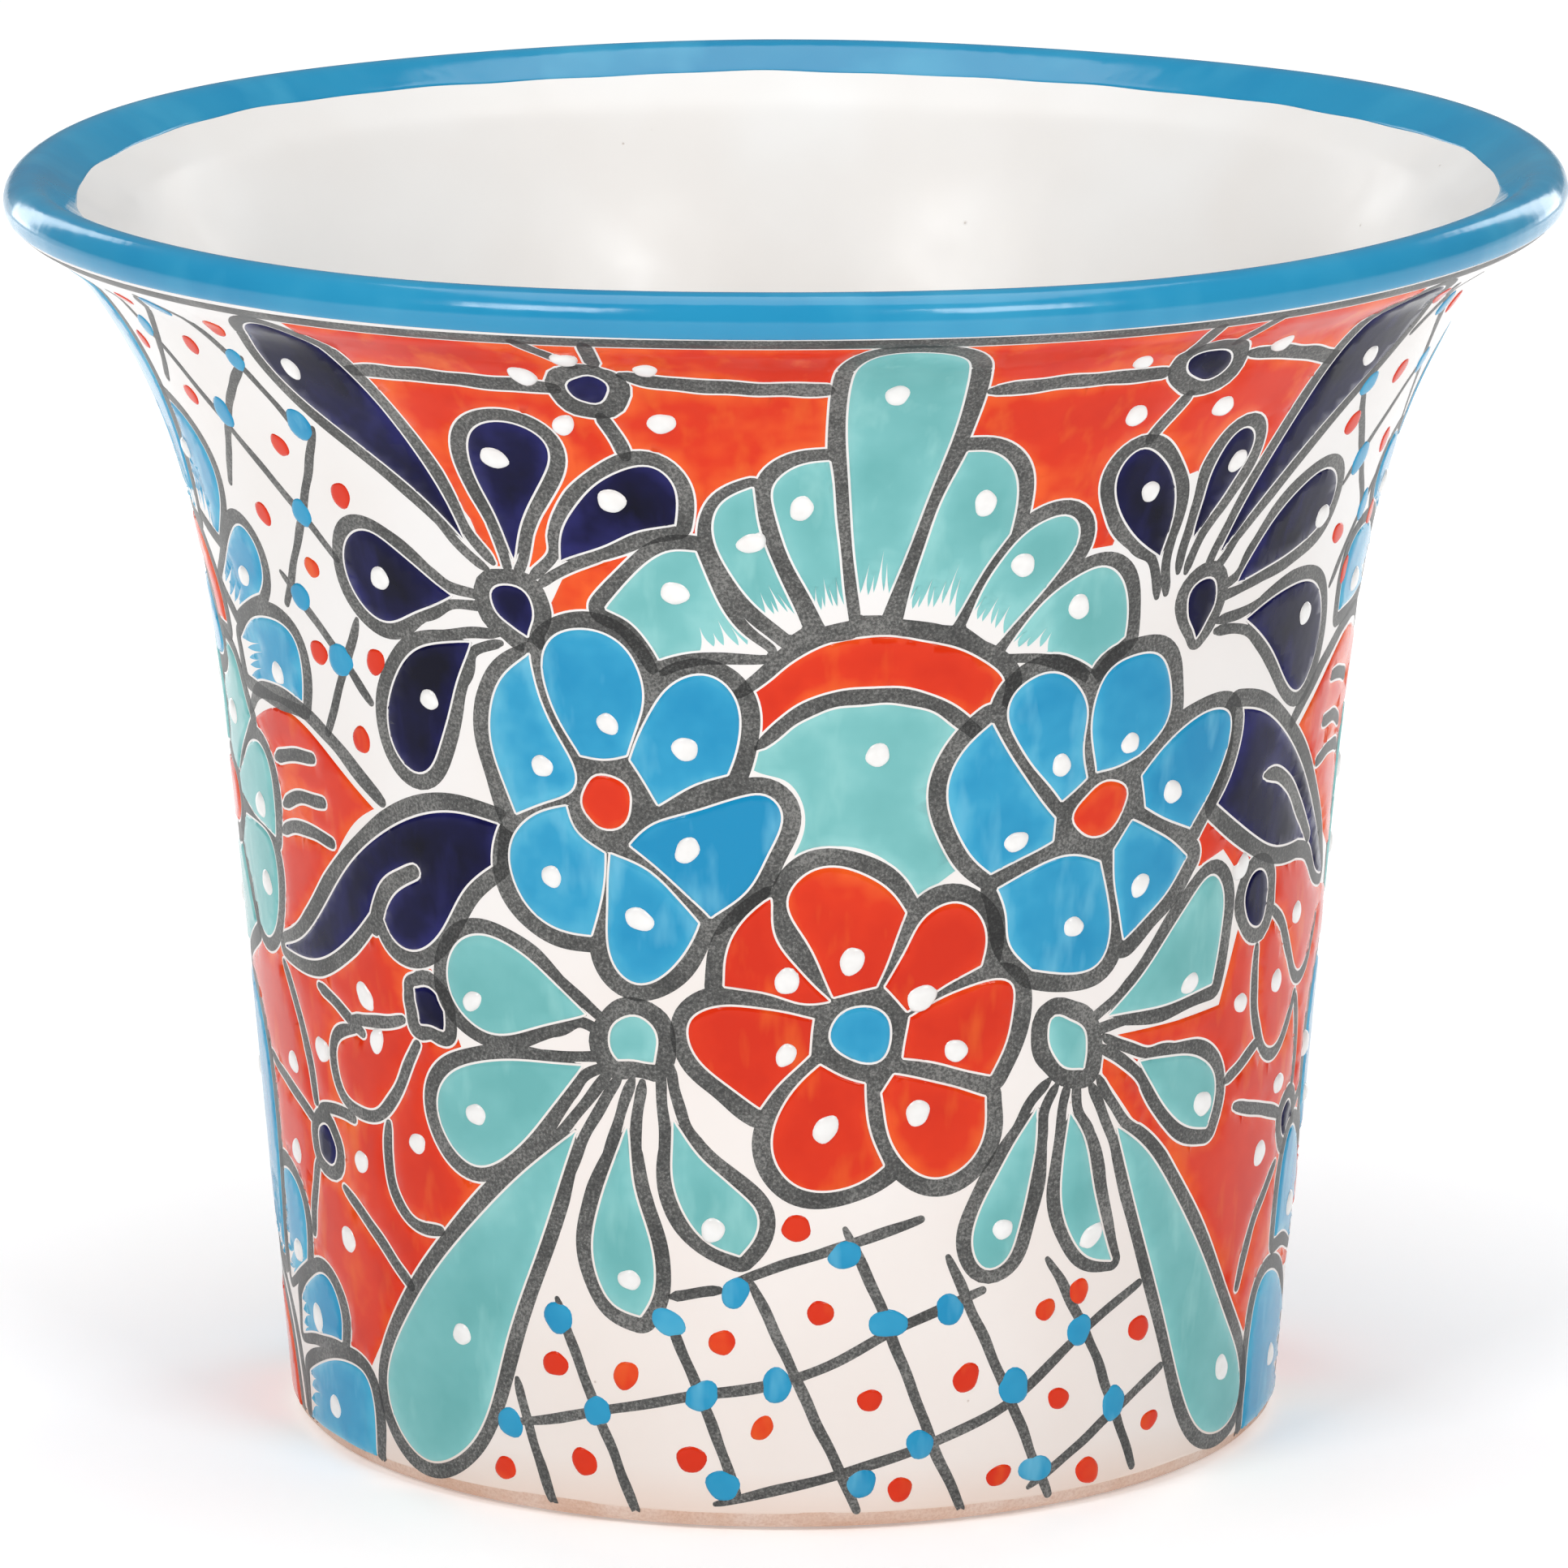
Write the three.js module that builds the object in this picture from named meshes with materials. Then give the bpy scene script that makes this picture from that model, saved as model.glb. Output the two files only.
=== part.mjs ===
// A flared, hand-built talavera planter pot: fired clay under tin glaze.
// Units are millimetres, +Z is up, and the origin is the middle of the underside.
import * as THREE from 'three';

// Driving dimensions
const overallHeight = 245;
const rimRadius = 150;
const baseRadius = 96;
const wallLean = 0.0865; // radius gained per millimetre of height
const flareStart = 100;
const flareEnd = 229.5;
const flareReach = 21.3;
const flarePower = 4.2;
const wallThickness = 9.5; // clay and both glazes together
const lipSlope = THREE.MathUtils.degToRad(35.3);
const floorThickness = 10;
const footRounding = 3;
const insideRounding = 6; // where the inside wall runs into the floor
const drainRadius = 10;

// Layers, measured inwards from the glazed surface
const glazeThickness = 0.7;
const layerGap = 0.3;
const clayDepth = glazeThickness + layerGap;

// Where the glazes start and stop
const glazeFootHeight = 5;
const neckHeight = 229;
const blueStartOutside = 0.86; // share of the lip's straight underside left white
const blueStartInside = 0.55;

const segments = 64;
const flareSteps = 6;
const flareSpacing = 0.6; // below 1, the heights lie closer together towards the neck
const lipSteps = 8;
const lipEndRadius = wallThickness / 2;
const lipCentre = new THREE.Vector2(rimRadius - lipEndRadius, overallHeight - lipEndRadius);

const finishes = {
  clay: { color: 0xe3b596, roughness: 0.85, metalness: 0 },
  whiteGlaze: { color: 0xf3f1ee, roughness: 0.18, metalness: 0 },
  blueGlaze: { color: 0x2f93c4, roughness: 0.15, metalness: 0 },
};

function outerRadius(z) {
  const rise = Math.max(0, (z - flareStart) / (flareEnd - flareStart));
  return baseRadius + wallLean * z + flareReach * rise ** flarePower;
}

// The point lying `depth` under the outer surface, square to it, at height z.
function wallPoint(z, depth) {
  const step = 0.5;
  const slope = (outerRadius(z + step) - outerRadius(z - step)) / (2 * step);
  const length = Math.hypot(1, slope);
  return new THREE.Vector2(outerRadius(z) - depth / length, z + (depth * slope) / length);
}

// The flaring part of the wall at one depth, from its start up to the neck. Every layer
// turns its corners at the same heights, so that the layers stay parallel.
function flareSide(depth) {
  const points = [];
  for (let i = 0; i <= flareSteps; i += 1) {
    const rise = (i / flareSteps) ** flareSpacing;
    points.push(wallPoint(flareStart + (neckHeight - flareStart) * rise, depth));
  }
  return points;
}

// The lip's round end at a layer's depth, from its underside over to its inner side.
function lipArc(depth, steps) {
  const points = [];
  for (let i = 0; i <= steps; i += 1) {
    const angle = lipSlope - Math.PI / 2 + (Math.PI * i) / steps;
    const reach = lipEndRadius - depth;
    points.push(new THREE.Vector2(Math.cos(angle), Math.sin(angle)).multiplyScalar(reach).add(lipCentre));
  }
  return points;
}

function between(a, b, share) {
  return a.clone().lerp(b, share);
}

// The stretch of the lip's underside that lies between the wall and its round end.
function undersidePoint(share, depth) {
  return between(wallPoint(neckHeight, depth), lipArc(depth, 1)[0], share);
}

function innerLipPoint(share, depth) {
  return between(wallPoint(neckHeight, wallThickness - depth), lipArc(depth, 1)[1], share);
}

function turned(name, finish, outline) {
  const closed = [...outline, outline[0]];
  const geometry = new THREE.LatheGeometry(closed, segments);
  geometry.rotateX(Math.PI / 2);
  const mesh = new THREE.Mesh(geometry, new THREE.MeshStandardMaterial(finish));
  mesh.name = name;
  return mesh;
}

// The clay slab that closes the bottom, with its rounded foot and drain hole.
function clayFloor() {
  const edge = wallPoint(footRounding, clayDepth).x;
  const corner = footRounding * (1 - Math.SQRT1_2);
  const outline = [
    new THREE.Vector2(drainRadius, 0),
    new THREE.Vector2(edge - footRounding, 0),
    new THREE.Vector2(edge - corner, corner),
    new THREE.Vector2(edge, footRounding),
    new THREE.Vector2(outerRadius(floorThickness) - clayDepth, floorThickness),
    new THREE.Vector2(drainRadius, floorThickness),
  ];
  return turned('clay_floor', finishes.clay, outline);
}

// The thrown wall, standing on the slab and flaring out to the neck.
function clayWall() {
  const bottom = floorThickness + layerGap;
  const outside = [
    new THREE.Vector2(outerRadius(bottom) - clayDepth, bottom),
    ...flareSide(clayDepth),
  ];
  const inside = [
    ...flareSide(wallThickness - clayDepth).reverse(),
    new THREE.Vector2(outerRadius(bottom) - wallThickness + clayDepth, bottom),
  ];
  return turned('clay_wall', finishes.clay, [...outside, ...inside]);
}

// The rolled lip of the pot, on top of the wall.
function clayLip() {
  const start = neckHeight + layerGap;
  const outline = [
    wallPoint(start, clayDepth),
    ...lipArc(clayDepth, lipSteps),
    wallPoint(start, wallThickness - clayDepth),
  ];
  return turned('clay_lip', finishes.clay, outline);
}

// The white tin glaze over the outside, from just above the foot to the blue rim.
function outerGlaze() {
  const skin = (depth) => [
    wallPoint(glazeFootHeight, depth),
    ...flareSide(depth),
    undersidePoint(blueStartOutside, depth),
  ];
  const outline = [...skin(0), ...skin(glazeThickness).reverse()];
  return turned('outer_glaze', finishes.whiteGlaze, outline);
}

// The white glaze that lines the wall and the floor.
function innerGlaze() {
  const floorTop = floorThickness + layerGap + glazeThickness;
  const skin = (depth) => [
    innerLipPoint(blueStartInside, depth),
    ...flareSide(wallThickness - depth).reverse(),
  ];
  const surfaceFoot = wallPoint(floorTop, wallThickness).x;
  const backFoot = wallPoint(floorTop, wallThickness - glazeThickness).x;
  const outline = [
    ...skin(0),
    new THREE.Vector2(surfaceFoot, floorTop + insideRounding),
    new THREE.Vector2(surfaceFoot - insideRounding, floorTop),
    new THREE.Vector2(drainRadius + glazeThickness, floorTop),
    new THREE.Vector2(drainRadius + glazeThickness, floorTop - glazeThickness),
    new THREE.Vector2(backFoot, floorTop - glazeThickness),
    ...skin(glazeThickness).reverse(),
  ];
  return turned('inner_glaze', finishes.whiteGlaze, outline);
}

// The blue glaze wrapped over the lip.
function rimGlaze() {
  const lipRun = lipArc(0, 1)[0].distanceTo(wallPoint(neckHeight, 0));
  const gapShare = layerGap / lipRun;
  const skin = (depth) => [
    undersidePoint(blueStartOutside + gapShare, depth),
    ...lipArc(depth, lipSteps),
    innerLipPoint(blueStartInside + gapShare, depth),
  ];
  const outline = [...skin(0), ...skin(glazeThickness).reverse()];
  return turned('rim_glaze', finishes.blueGlaze, outline);
}

const pot = new THREE.Group();
pot.add(clayFloor(), clayWall(), clayLip(), outerGlaze(), innerGlaze(), rimGlaze());

export default pot;
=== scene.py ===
import math
import random

import bpy
import numpy as np
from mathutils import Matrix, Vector
from mathutils.geometry import delaunay_2d_cdt
from mathutils.kdtree import KDTree


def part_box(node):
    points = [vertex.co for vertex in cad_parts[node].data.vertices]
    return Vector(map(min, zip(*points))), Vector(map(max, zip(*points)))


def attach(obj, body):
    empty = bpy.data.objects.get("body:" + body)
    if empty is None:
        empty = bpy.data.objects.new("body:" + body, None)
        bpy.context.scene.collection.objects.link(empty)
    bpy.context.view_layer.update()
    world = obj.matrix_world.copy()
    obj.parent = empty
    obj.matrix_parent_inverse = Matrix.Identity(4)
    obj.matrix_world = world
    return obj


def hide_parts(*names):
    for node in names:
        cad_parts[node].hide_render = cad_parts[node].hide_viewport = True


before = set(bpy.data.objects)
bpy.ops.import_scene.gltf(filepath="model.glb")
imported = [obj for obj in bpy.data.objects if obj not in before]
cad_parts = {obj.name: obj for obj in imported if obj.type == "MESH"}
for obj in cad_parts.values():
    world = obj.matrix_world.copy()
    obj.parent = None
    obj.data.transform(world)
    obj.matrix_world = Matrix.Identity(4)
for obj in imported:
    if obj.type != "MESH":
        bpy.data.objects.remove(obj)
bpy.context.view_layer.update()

MM = 0.001

# ---- the pot's turned shape, in millimetres ----
pot_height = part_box("rim_glaze")[1].z / MM
rim_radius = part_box("rim_glaze")[1].x / MM
glaze_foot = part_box("outer_glaze")[0].z / MM
cad_glaze = 0.7             # thickness of the glazes in the plain solids
inside_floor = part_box("inner_glaze")[0].z / MM + cad_glaze
drain_radius = 10 + cad_glaze
base_radius = 96
wall_lean = 0.0865          # radius gained for each millimetre of height
flare_start, flare_end, flare_reach, flare_power = 100, 229.5, 21.3, 4.2
wall_thickness = 9.5
lip_slope = math.radians(35.3)
lip_end_radius = wall_thickness / 2
neck_height = 229
foot_rounding = 3
floor_rounding = 6          # where the inside wall runs into the floor
glaze_coat = 0.6            # how deep the white coats' backs lie
point_spacing = 0.5         # between the points of the section


def wall_radius(z):
    """The outside's radius at a height: a straight lean, then a flare towards the rim."""
    rise = np.maximum(0, (z - flare_start) / (flare_end - flare_start))
    return base_radius + wall_lean * z + flare_reach * rise ** flare_power


def wall_point(z, depth):
    """The point that lies some depth under the outside, square to it, at the height z."""
    slope = wall_radius(z + 0.5) - wall_radius(z - 0.5)
    length = math.hypot(1, slope)
    return wall_radius(z) - depth / length, z + depth * slope / length


def arc(centre, radius, start, end, steps):
    """Points on an arc between two directions in degrees."""
    angles = np.radians(np.linspace(start, end, steps + 1))
    return [(centre[0] + radius * math.cos(t), centre[1] + radius * math.sin(t)) for t in angles]


def turned_profile():
    """The whole section (radius, height) from the drain hole under the pot, up the outside, over
    the lip and down the inside to the drain hole again, with a point every half millimetre."""
    lip_centre = (rim_radius - lip_end_radius, pot_height - lip_end_radius)
    lip_start = math.degrees(lip_slope) - 90
    foot = wall_radius(foot_rounding) - foot_rounding
    inner_foot = wall_point(inside_floor, wall_thickness)[0]
    heights = np.arange(foot_rounding, neck_height + 1, 2.0)
    corners = [(drain_radius, 0.0)]
    corners += arc((foot, foot_rounding), foot_rounding, -90, -5, 6)
    corners += [(wall_radius(z), z) for z in heights]
    corners += arc(lip_centre, lip_end_radius, lip_start, lip_start + 180, 16)
    corners += [wall_point(z, wall_thickness) for z in heights[::-1] if z > inside_floor + floor_rounding]
    corners += arc((inner_foot - floor_rounding, inside_floor + floor_rounding), floor_rounding, 0, -90, 5)
    corners += [(drain_radius + 1, inside_floor), (drain_radius, inside_floor - 1)]
    corners = np.array(corners)
    along = np.append(0, np.cumsum(np.hypot(*np.diff(corners, axis=0).T)))
    even = np.arange(0, along[-1], point_spacing)
    section = [np.interp(even, along, corners[:, i]) for i in (0, 1)]
    # a hand-made pot has no hard corners, so the section is eased over about a millimetre
    softness, near = 1.0, 6
    weights = np.exp(-0.5 * (np.arange(-near, near + 1) * point_spacing / softness) ** 2)
    weights /= weights.sum()
    eased = [np.convolve(np.pad(column, near, mode="edge"), weights, "valid") for column in section]
    return even, np.column_stack(eased)


path_length, path_points = turned_profile()
tangent = np.gradient(path_points, path_length, axis=0)
tangent /= np.linalg.norm(tangent, axis=1)[:, None]
path_normals = np.column_stack([tangent[:, 1], -tangent[:, 0]])
crest = int(np.argmax(path_points[:, 1]))
widest = int(np.argmax(path_points[:, 0]))


def on_path(s):
    """Radius, height and outward direction at a distance s along the section."""
    return [np.interp(s, path_length, column) for column in
            (path_points[:, 0], path_points[:, 1], path_normals[:, 0], path_normals[:, 1])]


def outside_at(z):
    """Distance along the section to the height z on the outside."""
    start = int(np.argmax(path_points[:, 1] > 0.5))
    return np.interp(z, path_points[start:widest, 1], path_length[start:widest])


def hand_made(x, y, z):
    """The small unevenness of a pot finished by hand: the rim leans and the wall waves by a
    fraction of a millimetre, more towards the top."""
    turn = np.arctan2(x, -y)
    share = np.clip(z / pot_height, 0, 1)
    wave = 0.35 * np.cos(2 * turn + 0.6) + 0.25 * np.cos(3 * turn + 2.1) + 0.15 * np.cos(5 * turn + 4.0)
    swell = 0.12 * np.sin(4 * turn + z / 23) + 0.10 * np.sin(7 * turn - z / 15 + 1.7)
    reach = np.maximum(np.hypot(x, y), 1)
    grow = 1 + (share ** 2 * wave + swell * share) / reach
    lift = share ** 3 * (0.7 * x / rim_radius + 0.3 * np.cos(3 * turn + 1.0) + 0.2 * np.cos(6 * turn))
    return np.column_stack([x * grow, y * grow, z + lift])


def on_pot(turn, s, lift):
    """A point on the pot in metres: angle in radians from the front, distance along the section
    and height above the surface."""
    radius, height, out, up = on_path(s)
    radius = radius + lift * out
    return hand_made(radius * np.sin(turn), -radius * np.cos(turn), height + lift * up) * MM


# ---- finishes ----
def linear(hex_colour):
    """An sRGB colour as the linear red, green, blue and alpha that the shaders take."""
    channels = [int(hex_colour[i:i + 2], 16) / 255 for i in (1, 3, 5)]
    return tuple(c / 12.92 if c <= 0.04045 else ((c + 0.055) / 1.055) ** 2.4 for c in channels) + (1.0,)


def per_metre(size_mm):
    """The scale at which a pattern repeats about once in a real size."""
    return 1 / (size_mm * MM)


def add(tree, kind, settings=None, **links):
    """Adds one node. settings holds its properties, the values of its sockets by name or number
    and a colour ramp's stops, and links joins other nodes' sockets to its own."""
    node = tree.nodes.new(kind)
    for key, value in (settings or {}).items():
        if key == "stops":
            points = node.color_ramp.elements
            while len(points) < len(value):
                points.new(0.5)
            for point, (position, colour) in zip(points, value):
                point.position, point.color = position, linear(colour)
        elif isinstance(key, int) or key in node.inputs:
            node.inputs[key].default_value = value
        else:
            setattr(node, key, value)
    for key, source in links.items():
        socket = int(key[1:]) if key[0] == "_" else key.replace("_", " ")
        tree.links.new(source, node.inputs[socket])
    return node


def finish_named(name):
    """An empty material, its nodes and the place on the pot that its patterns follow."""
    material = bpy.data.materials.new(name)
    material.use_nodes = True
    tree = material.node_tree
    tree.nodes.clear()
    place = add(tree, "ShaderNodeTexCoord").outputs["Object"]
    return material, tree, place


def white_tin_glaze(name, heights, smoothest, roughest):
    """Tin-white majolica glaze, dipped and fired: opaque and glossy, cool white where it is thick,
    warmer near the foot where it runs thin over the clay, with a few pinholes. heights gives its
    colour at shares of the pot's height; the inside's stops are painted shade, darker than the
    outside and darkest near the floor. Inside it is less smooth, from the rinse that coats it."""
    material, tree, place = finish_named(name)
    height = add(tree, "ShaderNodeSeparateXYZ", _0=place).outputs[2]
    share = add(tree, "ShaderNodeMapRange", {"From Max": pot_height * MM}, Value=height).outputs[0]
    ground = add(tree, "ShaderNodeValToRGB", {"stops": heights}, _0=share).outputs[0]
    drift = add(tree, "ShaderNodeTexNoise", {"Scale": per_metre(45)}, Vector=place).outputs[0]
    clouds = add(tree, "ShaderNodeValToRGB", {"stops": [(0.3, "#F8F4F1"), (0.7, "#FFFFFF")]},
                 _0=drift).outputs[0]
    clouded = add(tree, "ShaderNodeMix", {"data_type": "RGBA", "blend_type": "MULTIPLY", 0: 0.7},
                  _6=ground, _7=clouds).outputs[2]
    pinholes = add(tree, "ShaderNodeTexVoronoi", {"Scale": per_metre(14)}, Vector=place).outputs["Distance"]
    specks = add(tree, "ShaderNodeValToRGB", {"stops": [(0.010, "#B9A79B"), (0.024, "#FFFFFF")]},
                 _0=pinholes).outputs[0]
    colour = add(tree, "ShaderNodeMix", {"data_type": "RGBA", "blend_type": "MULTIPLY", 0: 0.6},
                 _6=clouded, _7=specks).outputs[2]
    breath = add(tree, "ShaderNodeTexNoise", {"Scale": per_metre(12)}, Vector=place).outputs[0]
    gloss = add(tree, "ShaderNodeMapRange",
                {"From Min": 0.3, "From Max": 0.7, "To Min": smoothest, "To Max": roughest},
                Value=breath).outputs[0]
    pits = add(tree, "ShaderNodeMapRange", {"From Min": 0.01, "From Max": 0.04}, Value=pinholes).outputs[0]
    swell = add(tree, "ShaderNodeBump", {"Distance": 0.10 * MM}, Height=breath).outputs[0]
    surface = add(tree, "ShaderNodeBump", {"Distance": 0.06 * MM}, Height=pits, Normal=swell).outputs[0]
    shader = add(tree, "ShaderNodeBsdfPrincipled", {"IOR": 1.52}, Base_Color=colour, Roughness=gloss,
                 Normal=surface)
    add(tree, "ShaderNodeOutputMaterial", _0=shader.outputs[0])
    return material


def coloured_glaze(name, thin, usual, thick, streak, wash_size=17, stroke_size=7, shine=0.2):
    """Coloured talavera glaze laid on with a loaded brush and fired: glossy and slightly raised,
    darker where it pools, paler at the edges and in the upright brush streaks."""
    material, tree, place = finish_named(name)
    pool = add(tree, "ShaderNodeAttribute", {"attribute_name": "pool"}).outputs["Fac"]
    tone = add(tree, "ShaderNodeAttribute", {"attribute_name": "tone"}).outputs["Fac"]
    washes = add(tree, "ShaderNodeTexNoise",
                 {"Scale": per_metre(wash_size), "Detail": 3.0, "Roughness": 0.55}, Vector=place).outputs[0]
    upright = add(tree, "ShaderNodeMapping", {"Scale": (1.0, 1.0, 0.32)}, Vector=place).outputs[0]
    brushing = add(tree, "ShaderNodeTexNoise", {"Scale": per_metre(stroke_size), "Detail": 3.0},
                   Vector=upright).outputs[0]
    pooled = add(tree, "ShaderNodeMath", {"operation": "MULTIPLY_ADD", 1: 0.22}, _0=pool,
                 _2=washes).outputs[0]
    level = add(tree, "ShaderNodeMath", {"operation": "MULTIPLY_ADD", 1: 0.30}, _0=tone,
                _2=pooled).outputs[0]
    body = add(tree, "ShaderNodeValToRGB", {"stops": [(0.36, thin), (0.58, usual), (0.86, thick)]},
               _0=level).outputs[0]
    streaks = add(tree, "ShaderNodeMapRange", {"From Min": 0.56, "From Max": 0.8, "To Max": 0.8},
                  Value=brushing).outputs[0]
    colour = add(tree, "ShaderNodeMix", {"data_type": "RGBA", 7: linear(streak)}, _0=streaks,
                 _6=body).outputs[2]
    ripples = add(tree, "ShaderNodeTexNoise", {"Scale": per_metre(8)}, Vector=place).outputs[0]
    gloss = add(tree, "ShaderNodeMapRange",
                {"From Min": 0.3, "From Max": 0.75, "To Min": 0.10, "To Max": 0.22},
                Value=ripples).outputs[0]
    surface = add(tree, "ShaderNodeBump", {"Distance": 0.12 * MM}, Height=ripples).outputs[0]
    shader = add(tree, "ShaderNodeBsdfPrincipled", {"IOR": 1.5, "Specular IOR Level": shine},
                 Base_Color=colour, Roughness=gloss, Normal=surface)
    add(tree, "ShaderNodeOutputMaterial", _0=shader.outputs[0])
    return material


def manganese_line(name, dark, usual, pale):
    """Manganese and iron pigment drawn with a brush: a charcoal grey, sandy line with a dull
    gloss, darker where the brush crossed it twice."""
    material, tree, place = finish_named(name)
    grain = add(tree, "ShaderNodeTexNoise", {"Scale": per_metre(0.55), "Detail": 3.0, "Roughness": 0.7},
                Vector=place).outputs[0]
    flow = add(tree, "ShaderNodeTexNoise", {"Scale": per_metre(13)}, Vector=place).outputs[0]
    level = add(tree, "ShaderNodeMath", {"operation": "MULTIPLY_ADD", 1: 0.45}, _0=flow,
                _2=grain).outputs[0]
    colour = add(tree, "ShaderNodeValToRGB", {"stops": [(0.56, dark), (0.74, usual), (0.9, pale)]},
                 _0=level).outputs[0]
    gloss = add(tree, "ShaderNodeMapRange",
                {"From Min": 0.3, "From Max": 0.7, "To Min": 0.3, "To Max": 0.48}, Value=grain).outputs[0]
    surface = add(tree, "ShaderNodeBump", {"Distance": 0.035 * MM}, Height=grain).outputs[0]
    shader = add(tree, "ShaderNodeBsdfPrincipled", {"IOR": 1.5, "Specular IOR Level": 0.3},
                 Base_Color=colour, Roughness=gloss, Normal=surface)
    add(tree, "ShaderNodeOutputMaterial", _0=shader.outputs[0])
    return material


def fired_earthenware():
    """Low-fired earthenware, bare at the foot and in the drain hole: pale peach, matt and sandy,
    stained by the wiped-off glaze."""
    material, tree, place = finish_named("fired_earthenware")
    stains = add(tree, "ShaderNodeTexNoise", {"Scale": per_metre(14), "Detail": 4.0},
                 Vector=place).outputs[0]
    patches = add(tree, "ShaderNodeValToRGB",
                  {"stops": [(0.3, "#D6B099"), (0.55, "#DFC3B2"), (0.8, "#E8D6CB")]}, _0=stains).outputs[0]
    sand = add(tree, "ShaderNodeTexNoise", {"Scale": per_metre(0.6), "Detail": 3.0, "Roughness": 0.7},
               Vector=place).outputs[0]
    grains = add(tree, "ShaderNodeValToRGB", {"stops": [(0.3, "#CFA48B"), (0.6, "#FFFFFF")]},
                 _0=sand).outputs[0]
    colour = add(tree, "ShaderNodeMix", {"data_type": "RGBA", "blend_type": "MULTIPLY", 0: 0.35},
                 _6=patches, _7=grains).outputs[2]
    surface = add(tree, "ShaderNodeBump", {"Distance": 0.12 * MM}, Height=sand).outputs[0]
    shader = add(tree, "ShaderNodeBsdfPrincipled", {"IOR": 1.45, "Roughness": 0.85}, Base_Color=colour,
                 Normal=surface)
    add(tree, "ShaderNodeOutputMaterial", _0=shader.outputs[0])
    return material


def raised_white():
    """Stiff white glaze dropped from a squeeze bottle: opaque, bright and glossy."""
    material, tree, place = finish_named("raised_white_glaze")
    ripples = add(tree, "ShaderNodeTexNoise", {"Scale": per_metre(3)}, Vector=place).outputs[0]
    colour = add(tree, "ShaderNodeValToRGB", {"stops": [(0.3, "#EBE9E6"), (0.7, "#F3F2F0")]},
                 _0=ripples).outputs[0]
    gloss = add(tree, "ShaderNodeMapRange",
                {"From Min": 0.3, "From Max": 0.7, "To Min": 0.12, "To Max": 0.22},
                Value=ripples).outputs[0]
    surface = add(tree, "ShaderNodeBump", {"Distance": 0.05 * MM}, Height=ripples).outputs[0]
    shader = add(tree, "ShaderNodeBsdfPrincipled", {"IOR": 1.52}, Base_Color=colour, Roughness=gloss,
                 Normal=surface)
    add(tree, "ShaderNodeOutputMaterial", _0=shader.outputs[0])
    return material


def paper_with_painted_glow():
    """Matt white paper with painted light: it glows, more strongly away from the pot."""
    material, tree, place = finish_named("white_paper_with_painted_glow")
    clouds = add(tree, "ShaderNodeTexNoise", {"Scale": per_metre(400)}, Vector=place).outputs[0]
    colour = add(tree, "ShaderNodeValToRGB", {"stops": [(0.3, "#F4F4F4"), (0.7, "#F8F8F8")]},
                 _0=clouds).outputs[0]
    away = add(tree, "ShaderNodeVectorMath", {"operation": "LENGTH"}, _0=place).outputs["Value"]
    # painted light: emission that brightens the paper more the further it lies from the pot
    painted_glow = add(tree, "ShaderNodeMapRange",
               {"From Min": 0.12, "From Max": 1.2, "To Min": 0.24, "To Max": 0.6}, Value=away).outputs[0]
    shader = add(tree, "ShaderNodeBsdfPrincipled", {"Roughness": 0.7, "Emission Color": linear("#FFFFFF")},
                 Base_Color=colour, Emission_Strength=painted_glow)
    add(tree, "ShaderNodeOutputMaterial", _0=shader.outputs[0])
    return material


outside_white = white_tin_glaze("white_tin_glaze", [
    (0.012, "#EBD8CC"), (0.05, "#EFE6E0"), (0.35, "#F1EBE7"), (0.8, "#EDEBE9")], 0.17, 0.27)
# painted shade: the inside's white is a darker copy of the outside glaze, darkest towards the floor
inside_white_painted_shade = white_tin_glaze("white_tin_glaze_inside_painted_shade", [
    (0.05, "#E5E1DD"), (0.5, "#EBE9E7"), (0.9, "#ECEBE9")], 0.30, 0.42)
clay = fired_earthenware()
drop_white = raised_white()
glazes = {
    "sky_blue": coloured_glaze("sky_blue_glaze", "#52B0D1", "#2E9AC4", "#168AB9", "#72BED9"),
    "orange_red": coloured_glaze("orange_red_glaze", "#EC5A20", "#DC330F", "#D12A0A", "#E96722"),
    "teal": coloured_glaze("teal_glaze", "#8CCAC8", "#77BBBA", "#69AFAE", "#95D0CC"),
    "navy": coloured_glaze("navy_glaze", "#252560", "#10103A", "#06061C", "#202056", shine=0.12),
}
rim_blue = coloured_glaze("rim_blue_glaze", "#3A9CC2", "#258FB9", "#1A86B3", "#48A6C9", 40, 26, 0.45)
line_grey = manganese_line("manganese_line", "#3B3B3A", "#585856", "#81807D")
line_dark = manganese_line("manganese_line_crossed", "#1D1D1D", "#30302F", "#50504E")


# ---- meshes ----
def solid(name, points, faces, materials, face_finish=None):
    """A closed piece of the pot. face_finish gives each face's place in the list of materials."""
    mesh = bpy.data.meshes.new(name)
    mesh.from_pydata(points.tolist(), [], faces)
    for material in materials:
        mesh.materials.append(material)
    if face_finish is not None:
        mesh.polygons.foreach_set("material_index", face_finish)
    mesh.shade_smooth()
    obj = bpy.data.objects.new(name, mesh)
    bpy.context.scene.collection.objects.link(obj)
    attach(obj, "root")
    return obj


def store(obj, quantity, amounts):
    """Gives each vertex a number that the glazes' finishes read: pool for how thick the glaze
    stands there and tone for how heavily the brush was loaded."""
    layer = obj.data.attributes.new(quantity, "FLOAT", "POINT")
    layer.data.foreach_set("value", np.full(len(obj.data.vertices), amounts, np.float32))


def rounded(share):
    """A rise from 0 to 1 as steep as a quarter circle, as glaze rounds over at its edge."""
    share = np.clip(share, 0, 1)
    return np.sqrt(share * (2 - share))


def any_phase(draw):
    """A wave's random start, anywhere round the circle."""
    return draw.uniform(0, 6.28)


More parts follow.
